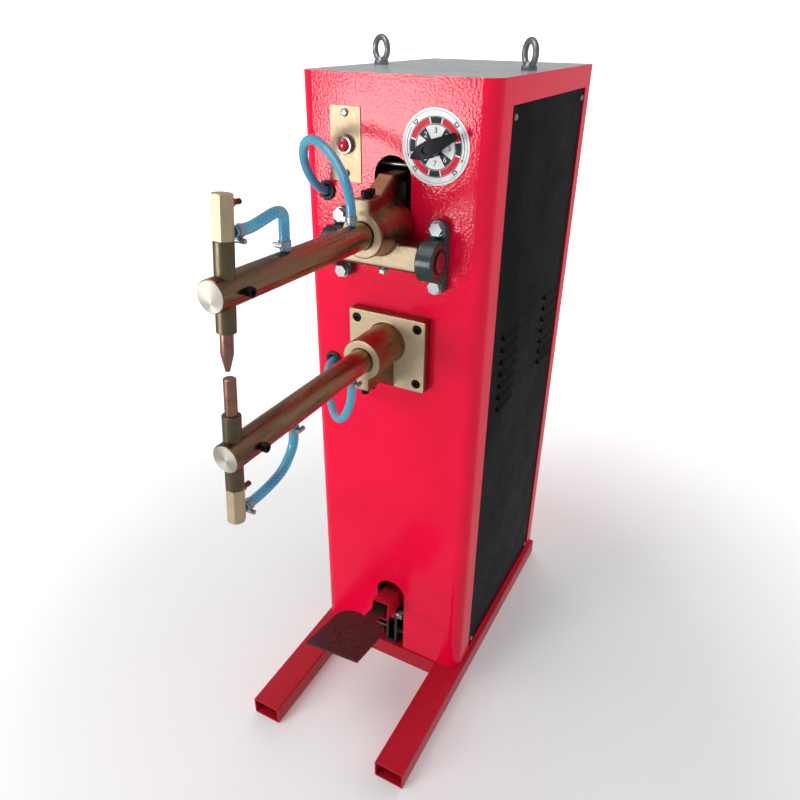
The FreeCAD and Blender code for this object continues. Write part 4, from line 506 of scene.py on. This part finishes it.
def arm_end(y, z, side, share=0.0, gap=0.0):
    """First two points of a hose on an arm's barb."""
    root = swing(share) @ Vector((0.0, y, z + side * (ARM_R - 4.0)))
    direction = swing(share).to_3x3() @ Vector((0.0, 0.0, side))
    return barb_end(root, direction, gap)


def shifted(points):
    """Points about the mechanism's middle plane moved into place."""
    return [Vector(point) + Vector((CENTRE_X, 0.0, 0.0)) for point in points]


def rear_end(z):
    """Last two points of a hose on a bulkhead barb."""
    return [Vector((GROMMET_X, BULKHEAD_END_Y - FIRST_RUN, z)), Vector((GROMMET_X, BULKHEAD_END_Y, z))]


def smooth_line(points):
    """Points along the NURBS spline that has the route's points as control points, in metres."""
    data = bpy.data.curves.new("route", "CURVE")
    data.dimensions = "3D"
    spline = data.splines.new("NURBS")
    spline.points.add(len(points) - 1)
    for place, point in zip(spline.points, points):
        place.co = (*(Vector(point) * MM), 1.0)
    spline.order_u = 3
    spline.use_endpoint_u = True
    spline.resolution_u = 14
    obj = bpy.data.objects.new("route", data)
    SCENE.collection.objects.link(obj)
    line = bpy.data.meshes.new_from_object(obj)
    path = [v.co.copy() for v in line.vertices]
    bpy.data.objects.remove(obj)
    bpy.data.meshes.remove(line)
    return path


def tube(name, path, radius, sides):
    """Round tube mesh along a path in metres, with UV = (turns, metres along)."""
    verts, faces, uvs = [], [], []
    side = None
    travelled = 0.0
    rings = []
    for index, point in enumerate(path):
        ahead = path[min(index + 1, len(path) - 1)] - path[max(index - 1, 0)]
        tangent = ahead.normalized()
        if side is None:
            side = tangent.orthogonal().normalized()
        side = (side - tangent * side.dot(tangent)).normalized()
        other = tangent.cross(side)
        if index:
            travelled += (point - path[index - 1]).length
        ring = []
        for step in range(sides + 1):
            angle = 2 * math.pi * step / sides
            spot = point + (side * math.cos(angle) + other * math.sin(angle)) * radius * MM
            ring.append(len(verts))
            verts.append(spot)
            uvs.append((step / sides, travelled))
        rings.append(ring)
    for a, b in zip(rings, rings[1:]):
        for step in range(sides):
            faces.append((a[step], a[step + 1], b[step + 1], b[step]))
    mesh = bpy.data.meshes.new(name)
    mesh.from_pydata([tuple(v) for v in verts], [], faces)
    layer = mesh.uv_layers.new(name="UVMap")
    for loop in mesh.loops:
        layer.data[loop.index].uv = uvs[loop.vertex_index]
    bm = bmesh.new()
    bm.from_mesh(mesh)
    bmesh.ops.remove_doubles(bm, verts=bm.verts, dist=1e-6)
    ends = [e for e in bm.edges if e.is_boundary]
    bmesh.ops.holes_fill(bm, edges=ends)
    bmesh.ops.recalc_face_normals(bm, faces=bm.faces)
    bm.to_mesh(mesh)
    bm.free()
    return mesh


def length_of(path):
    """Length of a path."""
    return sum((b - a).length for a, b in zip(path, path[1:]))


def add_hose(node, points):
    """Hose piece that stands for its CAD node; returns the object and its path."""
    path = smooth_line(points)
    obj = new_object(node + "_braid", tube(node, path, HOSE_R, 28), MATS["hose_blue"], 60.0)
    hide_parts(node)
    return obj, path


def declare_hose(obj, path):
    """State the hose's real size."""
    print(obj.name, "length", round(length_of(path), 4))


route = head_end(UPPER_HEAD_BARB_Z) + [Vector(p) for p in UPPER_FRONT_HOSE]
route += arm_end(UPPER_FRONT_BARB_Y, UPPER_ARM_Z, 1.0)[::-1]
upper_front, path = add_hose("upper_front_hose", shifted([swing() @ point for point in route]))
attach(upper_front, "rocker")
declare_hose(upper_front, path)
route = head_end(LOWER_HEAD_BARB_Z) + [Vector(p) for p in LOWER_FRONT_HOSE]
route += arm_end(LOWER_FRONT_BARB_Y, LOWER_ARM_Z, -1.0)[::-1]
lower_front, path = add_hose("lower_front_hose", shifted(route))
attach(lower_front, "cabinet")
declare_hose(lower_front, path)
route = shifted(arm_end(LOWER_REAR_BARB_Y, LOWER_ARM_Z, -1.0)) + LOWER_REAR_HOSE
lower_rear, path = add_hose("lower_rear_hose", route + rear_end(LOWER_BULKHEAD_Z))
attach(lower_rear, "cabinet")
declare_hose(lower_rear, path)
route = shifted(arm_end(UPPER_REAR_BARB_Y, UPPER_ARM_Z, 1.0, 0.5, LOOSE_GAP)) + UPPER_REAR_HOSE
upper_rear, path = add_hose("upper_rear_hose", route + rear_end(UPPER_BULKHEAD_Z))
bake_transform(upper_rear)
declare_hose(upper_rear, path)


# ------------------------------------------------------------ CAD nodes: materials and softened edges
SLOT_OF = {row["node"]: row["material_slot"] for row in frame["record"]["subparts"]}
EDGE = {"zinc": 0.35, "plate_brass": 0.2, "polished_brass": 0.3, "holder_brass": 0.35, "black_screw": 0.25,
        "copper": 0.3, "head_brass": 0.3, "turned_brass": 0.2, "knob_black": 0.9, "rail_red": 0.4,
        "forged_grey": 0.2, "chrome": 0.3, "shaft_steel": 0.5}
CASTINGS = {"rocker_casting": (1.3, 9), "lower_flange": (1.3, 5), "pillow_blocks": (1.1, 5)}


def smooth_group():
    """Node group that joins split vertices and smooths shading below a fixed edge angle."""
    group = bpy.data.node_groups.new("smooth_by_angle", "GeometryNodeTree")
    group.interface.new_socket("Geometry", in_out="INPUT", socket_type="NodeSocketGeometry")
    group.interface.new_socket("Geometry", in_out="OUTPUT", socket_type="NodeSocketGeometry")
    nodes, links = group.nodes, group.links
    first, last = nodes.new("NodeGroupInput"), nodes.new("NodeGroupOutput")
    merge = nodes.new("GeometryNodeMergeByDistance")
    merge.inputs["Distance"].default_value = 2e-6
    face = nodes.new("GeometryNodeSetShadeSmooth")
    angle = nodes.new("GeometryNodeInputMeshEdgeAngle")
    sharp = nodes.new("FunctionNodeCompare")
    sharp.operation = "GREATER_THAN"
    sharp.inputs[1].default_value = math.radians(30.0)
    edge = nodes.new("GeometryNodeSetShadeSmooth")
    edge.domain = "EDGE"
    edge.inputs["Shade Smooth"].default_value = False
    links.new(first.outputs[0], merge.inputs["Geometry"])
    links.new(merge.outputs[0], face.inputs["Geometry"])
    links.new(face.outputs[0], edge.inputs["Geometry"])
    links.new(angle.outputs["Unsigned Angle"], sharp.inputs[0])
    links.new(sharp.outputs[0], edge.inputs["Selection"])
    links.new(edge.outputs[0], last.inputs[0])
    return group


SMOOTH = smooth_group()


def soften(obj, edge_width):
    """Welded vertices, smooth shading by angle and, if asked, small bevels."""
    if "custom_normal" in obj.data.attributes:
        obj.data.attributes.remove(obj.data.attributes["custom_normal"])
    weld = obj.modifiers.new("smooth", "NODES")
    weld.node_group = SMOOTH
    if edge_width:
        bevel = obj.modifiers.new("bevel", "BEVEL")
        bevel.width = edge_width * MM
        bevel.segments = 2
        bevel.limit_method = "ANGLE"
        bevel.angle_limit = math.radians(40.0)
        bevel.harden_normals = True


def recast(obj, voxel, passes):
    """Casting look: one skin with soft corners and filled roots."""
    soften(obj, 0.0)
    remesh = obj.modifiers.new("skin", "REMESH")
    remesh.mode = "VOXEL"
    remesh.voxel_size = voxel * MM
    remesh.use_smooth_shade = True
    smooth = obj.modifiers.new("cast_corners", "SMOOTH")
    smooth.factor = 0.5
    smooth.iterations = passes


for node, obj in NODES.items():
    if obj.hide_render:
        continue
    slot = SLOT_OF[node]
    obj.data.materials.clear()
    obj.data.materials.append(MATS[slot])
    if node in CASTINGS:
        recast(obj, *CASTINGS[node])
    else:
        soften(obj, EDGE.get(slot, 0.0))


def second_finish(node, material, chosen):
    """Give the faces whose centre is accepted another material."""
    mesh = NODES[node].data
    mesh.materials.append(MATS[material])
    for polygon in mesh.polygons:
        if chosen(polygon.center / MM):
            polygon.material_index = len(mesh.materials) - 1


def on_pedal_bolt(spot):
    """Whether a face of the pivot belongs to its bolt."""
    return abs(spot.x - CENTRE_X) > 13.01 or math.hypot(spot.y - PEDAL_BOLT.y, spot.z - PEDAL_BOLT.z) < 7.0


# The top face of the cover gets the grey painted reflection.
second_finish("top_cover", "top_painted_reflection", lambda c: c.z > CABINET_TOP - 0.5)
# Faces of the pedal pivot behind y = 0 get dark steel; this dark also stands in for the shade inside the
# base.
second_finish("pedal_pivot", "shelf_steel", lambda c: c.y > 0.0)
second_finish("pedal_pivot", "zinc", on_pedal_bolt)


# ------------------------------------------------------------ flat and small pieces
def place_piece(name, verts, faces, materials, body, smooth=30.0, picks=None):
    """Piece in millimetres that rides on a body."""
    mesh = mesh_from(name, verts, faces)
    for material in materials:
        mesh.materials.append(MATS[material])
    if picks is not None:
        for polygon, pick in zip(mesh.polygons, picks):
            polygon.material_index = pick
    obj = new_object(name, mesh, None, smooth)
    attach(obj, body)
    return obj


class Print:
    """Flat printed shapes stacked on the dial."""

    INKS = ["dial_white", "ink_grey", "ink_black", "ink_red", "ink_deep_red", "ink_green"]

    def __init__(self):
        self.verts, self.faces, self.picks = [], [], []

    def sector(self, inner, outer, start, end, ink, layer):
        """Ring sector; radii as shares of the dial, angles in degrees from +X towards +Z."""
        steps = max(2, int(abs(end - start) / 3.0))
        first = len(self.verts)
        for index in range(steps + 1):
            angle = math.radians(start + (end - start) * index / steps)
            for radius in (inner * DIAL_R, outer * DIAL_R):
                self.verts.append((DIAL.x + radius * math.cos(angle), -1.5 - 0.06 * layer,
                                   DIAL.z + radius * math.sin(angle)))
        for index in range(steps):
            a = first + 2 * index
            self.faces.append((a, a + 1, a + 3, a + 2))
            self.picks.append(self.INKS.index(ink))

    def shape(self, points, ink, layer):
        """Flat polygon from (radius share, degrees) points."""
        first = len(self.verts)
        for radius, angle in points:
            turn = math.radians(angle)
            self.verts.append((DIAL.x + radius * DIAL_R * math.cos(turn), -1.5 - 0.06 * layer,
                               DIAL.z + radius * DIAL_R * math.sin(turn)))
        self.faces.append(tuple(range(first, len(self.verts))))
        self.picks.append(self.INKS.index(ink))


def add_dial_print():
    """Rings, sectors, direction arrows and step marks of the switch scale."""
    art = Print()
    art.sector(0.925, 0.940, 0, 360, "ink_green", 1)
    art.sector(0.770, 0.790, 0, 360, "ink_black", 1)
    art.sector(0.570, 0.600, 0, 360, "ink_black", 1)
    for quarter in (0, 90, 180, 270):
        art.sector(0.605, 0.765, quarter - 13, quarter + 13, "ink_grey", 1)
        art.sector(0.605, 0.765, quarter + 16, quarter + 74, "ink_red", 1)
        art.sector(0.14, 0.565, quarter + 32, quarter + 60, "ink_grey", 1)
        art.shape([(0.80, quarter + 41), (0.80, quarter + 49), (0.90, quarter + 50), (0.90, quarter + 40)],
                  "ink_grey", 1)
        art.shape([(0.825, quarter + 43), (0.825, quarter + 47), (0.875, quarter + 48),
                   (0.875, quarter + 42)], "dial_white", 2)
    art.sector(0.600, 0.775, 20, 33, "ink_deep_red", 2)
    for start, end, tip in ((148, 196, 202), (28, -18, -24)):
        art.sector(0.842, 0.862, start, end, "ink_black", 1)
        art.shape([(0.822, end), (0.852, tip), (0.882, end)], "ink_black", 2)
    place_piece("dial_print", art.verts, art.faces, Print.INKS, "cabinet", None, art.picks)


def add_dial_numbers():
    """Step numbers 1 to 8 round the scale."""
    for index in range(8):
        angle = math.radians(180.0 - 45.0 * index)
        data = bpy.data.curves.new("number", "FONT")
        data.body = str(index + 1)
        data.size = 11.0 * MM
        data.align_x = "CENTER"
        data.align_y = "CENTER"
        data.extrude = 0.02 * MM
        obj = bpy.data.objects.new("number", data)
        SCENE.collection.objects.link(obj)
        mesh = bpy.data.meshes.new_from_object(obj)
        bpy.data.objects.remove(obj)
        radius = 0.42 * DIAL_R
        spot = Vector((DIAL.x + radius * math.cos(angle), -1.72, DIAL.z + radius * math.sin(angle)))
        mesh.transform(Matrix.Translation(spot * MM) @ Matrix.Rotation(math.radians(90.0), 4, "X"))
        ink = MATS["dial_white" if index % 2 else "ink_grey"]
        number = new_object("dial_number_%d" % (index + 1), mesh, ink)
        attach(number, "cabinet")


def ring_piece(name, centre, axis, profile, sides, material, body, wobble=None, smooth=30.0):
    """Solid of revolution from (radius, distance) pairs about an axis through a centre."""
    frame_turn = Vector((0, 0, 1)).rotation_difference(Vector(axis)).to_matrix()
    verts, faces = [], []
    count = len(profile)
    for step in range(sides):
        angle = 2 * math.pi * step / sides
        for index, (radius, distance) in enumerate(profile):
            r = radius + (wobble(step, index) if wobble else 0.0)
            spot = frame_turn @ Vector((r * math.cos(angle), r * math.sin(angle), distance))
            verts.append(Vector(centre) + spot)
    for step in range(sides):
        following = (step + 1) % sides
        for index in range(count):
            after = (index + 1) % count
            faces.append((step * count + index, following * count + index, following * count + after,
                          step * count + after))
    return place_piece(name, verts, faces, [material], body, smooth)


def add_lamp():
    """Knurled bezel and faceted jewel."""
    def knurl(step, index):
        return 0.5 if index in (1, 2) and step % 3 == 0 else 0.0

    profile = [(10.2, 1.6), (13.7, 2.2), (13.7, 8.4), (12.9, 9.7), (10.2, 9.9)]
    ring_piece("lamp_knurl", LAMP, (0, -1, 0), profile, 108, "chrome", "cabinet", knurl)
    bm = bmesh.new()
    bmesh.ops.create_icosphere(bm, subdivisions=3, radius=10.4 * MM)
    mesh = bpy.data.meshes.new("lamp_jewel")
    bm.to_mesh(mesh)
    bm.free()
    flatten = Matrix.Diagonal((1.0, 0.72, 1.0, 1.0))
    mesh.transform(Matrix.Translation(Vector((LAMP.x, -9.6, LAMP.z)) * MM) @ flatten)
    jewel = new_object("lamp_jewel", mesh, MATS["lens_red"])
    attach(jewel, "cabinet")
    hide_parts("lamp_lens")


def add_tread_pattern():
    """Raised lozenges of the chequer plate on the pedal."""
    verts, faces = [], []
    tilt = Matrix.Rotation(math.radians(-PEDAL_PITCH), 4, "X")
    pitch = 15.0
    for row in range(10):
        for column in range(8):
            x = TREAD_X[0] + 8.0 + pitch * column
            y = TREAD_Y[0] - 2.0 + pitch * row
            if not TREAD_X[0] + 8 < x < TREAD_X[1] - 7 or y > TREAD_Y[1] - 2:
                continue
            turn = math.radians(45.0 if (row + column) % 2 else -45.0)
            first = len(verts)
            outline = [(9.0, 0.0), (4.0, 2.2), (-4.0, 2.2), (-9.0, 0.0), (-4.0, -2.2), (4.0, -2.2)]
            for share, lift in ((1.0, 3.95), (0.72, 5.0)):
                for a, b in outline:
                    along = a * share * math.cos(turn) - b * share * math.sin(turn)
                    across = a * share * math.sin(turn) + b * share * math.cos(turn)
                    spot = tilt @ Vector((x + along, y + across, lift))
                    verts.append(spot + PEDAL_END + Vector((CENTRE_X, 0.0, 0.0)))
            for side in range(6):
                after = (side + 1) % 6
                faces.append((first + side, first + after, first + 6 + after, first + 6 + side))
            faces.append(tuple(first + 6 + k for k in range(6)))
    place_piece("tread_pattern", verts, faces, ["tread_brown"], "pedal", 30.0)


def add_springs():
    """Coil springs copied from their CAD parts, riding on the lower rod and on the cabinet."""
    for node, body, joint, anchor, keep in (("pressure_spring", "lower_rod", "push_rod_lag", 0.300, 0.900),
                                            ("return_spring", "cabinet", "lower_rod_lift", 0.516, 0.945)):
        coil = new_object(node + "_coil", NODES[node].data.copy())
        coil.matrix_world = NODES[node].matrix_world.copy()
        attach(coil, body)
        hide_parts(node)
        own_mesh(coil)


add_dial_print()
add_dial_numbers()
add_lamp()
add_tread_pattern()
add_springs()


# ------------------------------------------------------------ floor, light
def add_stage():
    """Pale floor and a pale wall behind it."""
    t = Tree("floor")
    t.link("Base Color", t.ramp(t.noise(3.0, 2.0), [(0.3, (0.84, 0.84, 0.84)), (0.7, (0.86, 0.86, 0.86))]))
    split = t.add("SeparateXYZ", Vector=t.coords.outputs["Object"])
    away = t.math("ADD", t.math("MULTIPLY", split.outputs[0], split.outputs[0]),
                  t.math("MULTIPLY", split.outputs[1], split.outputs[1]))
    t.set(Roughness=0.8, Specular_IOR_Level=0.1, Emission_Color=(1.0, 1.0, 1.0, 1.0))
    t.link("Emission Strength", t.range(t.math("SQRT", away), 0.7, 2.2, 0.10, 0.75))
    reach, back, top = 9000.0, 2600.0, 4200.0
    verts = [(-reach, -reach, 0), (reach, -reach, 0)]
    faces = []
    for index in range(13):
        angle = math.radians(90.0 * index / 12)
        y, z = back - 900.0 + 900.0 * math.sin(angle), 900.0 - 900.0 * math.cos(angle)
        verts += [(-reach, y, z), (reach, y, z)]
    verts += [(-reach, back, top), (reach, back, top)]
    for index in range(0, len(verts) - 2, 2):
        faces.append((index, index + 1, index + 3, index + 2))
    sweep = new_object("floor", mesh_from("floor", verts, faces), t.material, 60.0)
    sweep.visible_glossy = False


def add_light(name, at, to, size, radiance, colour=(1, 1, 1)):
    """Soft rectangular lamp aimed at a point; metres, strength as surface radiance."""
    data = bpy.data.lights.new(name, "AREA")
    data.shape = "RECTANGLE"
    data.size, data.size_y = size
    data.energy = radiance * math.pi * size[0] * size[1]
    data.color = colour
    lamp = bpy.data.objects.new(name, data)
    SCENE.collection.objects.link(lamp)
    direction = Vector(to) - Vector(at)
    lamp.matrix_world = Matrix.Translation(at) @ direction.to_track_quat("-Z", "Y").to_matrix().to_4x4()


def add_world():
    """Dim even surroundings."""
    world = bpy.data.worlds.new("studio")
    SCENE.world = world
    world.use_nodes = True
    background = world.node_tree.nodes["Background"]
    background.inputs[0].default_value = (0.95, 0.97, 1.0, 1.0)
    background.inputs[1].default_value = 0.36


add_stage()
add_world()
add_light("window", (-1.27, -2.3, 0.78), (-1.0, 0.0, 0.80), (1.15, 0.80), 12.0)
add_light("top", (-0.9, -0.9, 3.0), (0.0, 0.0, 0.5), (1.8, 1.8), 2.4)
SCENE.view_settings.view_transform = "Standard"
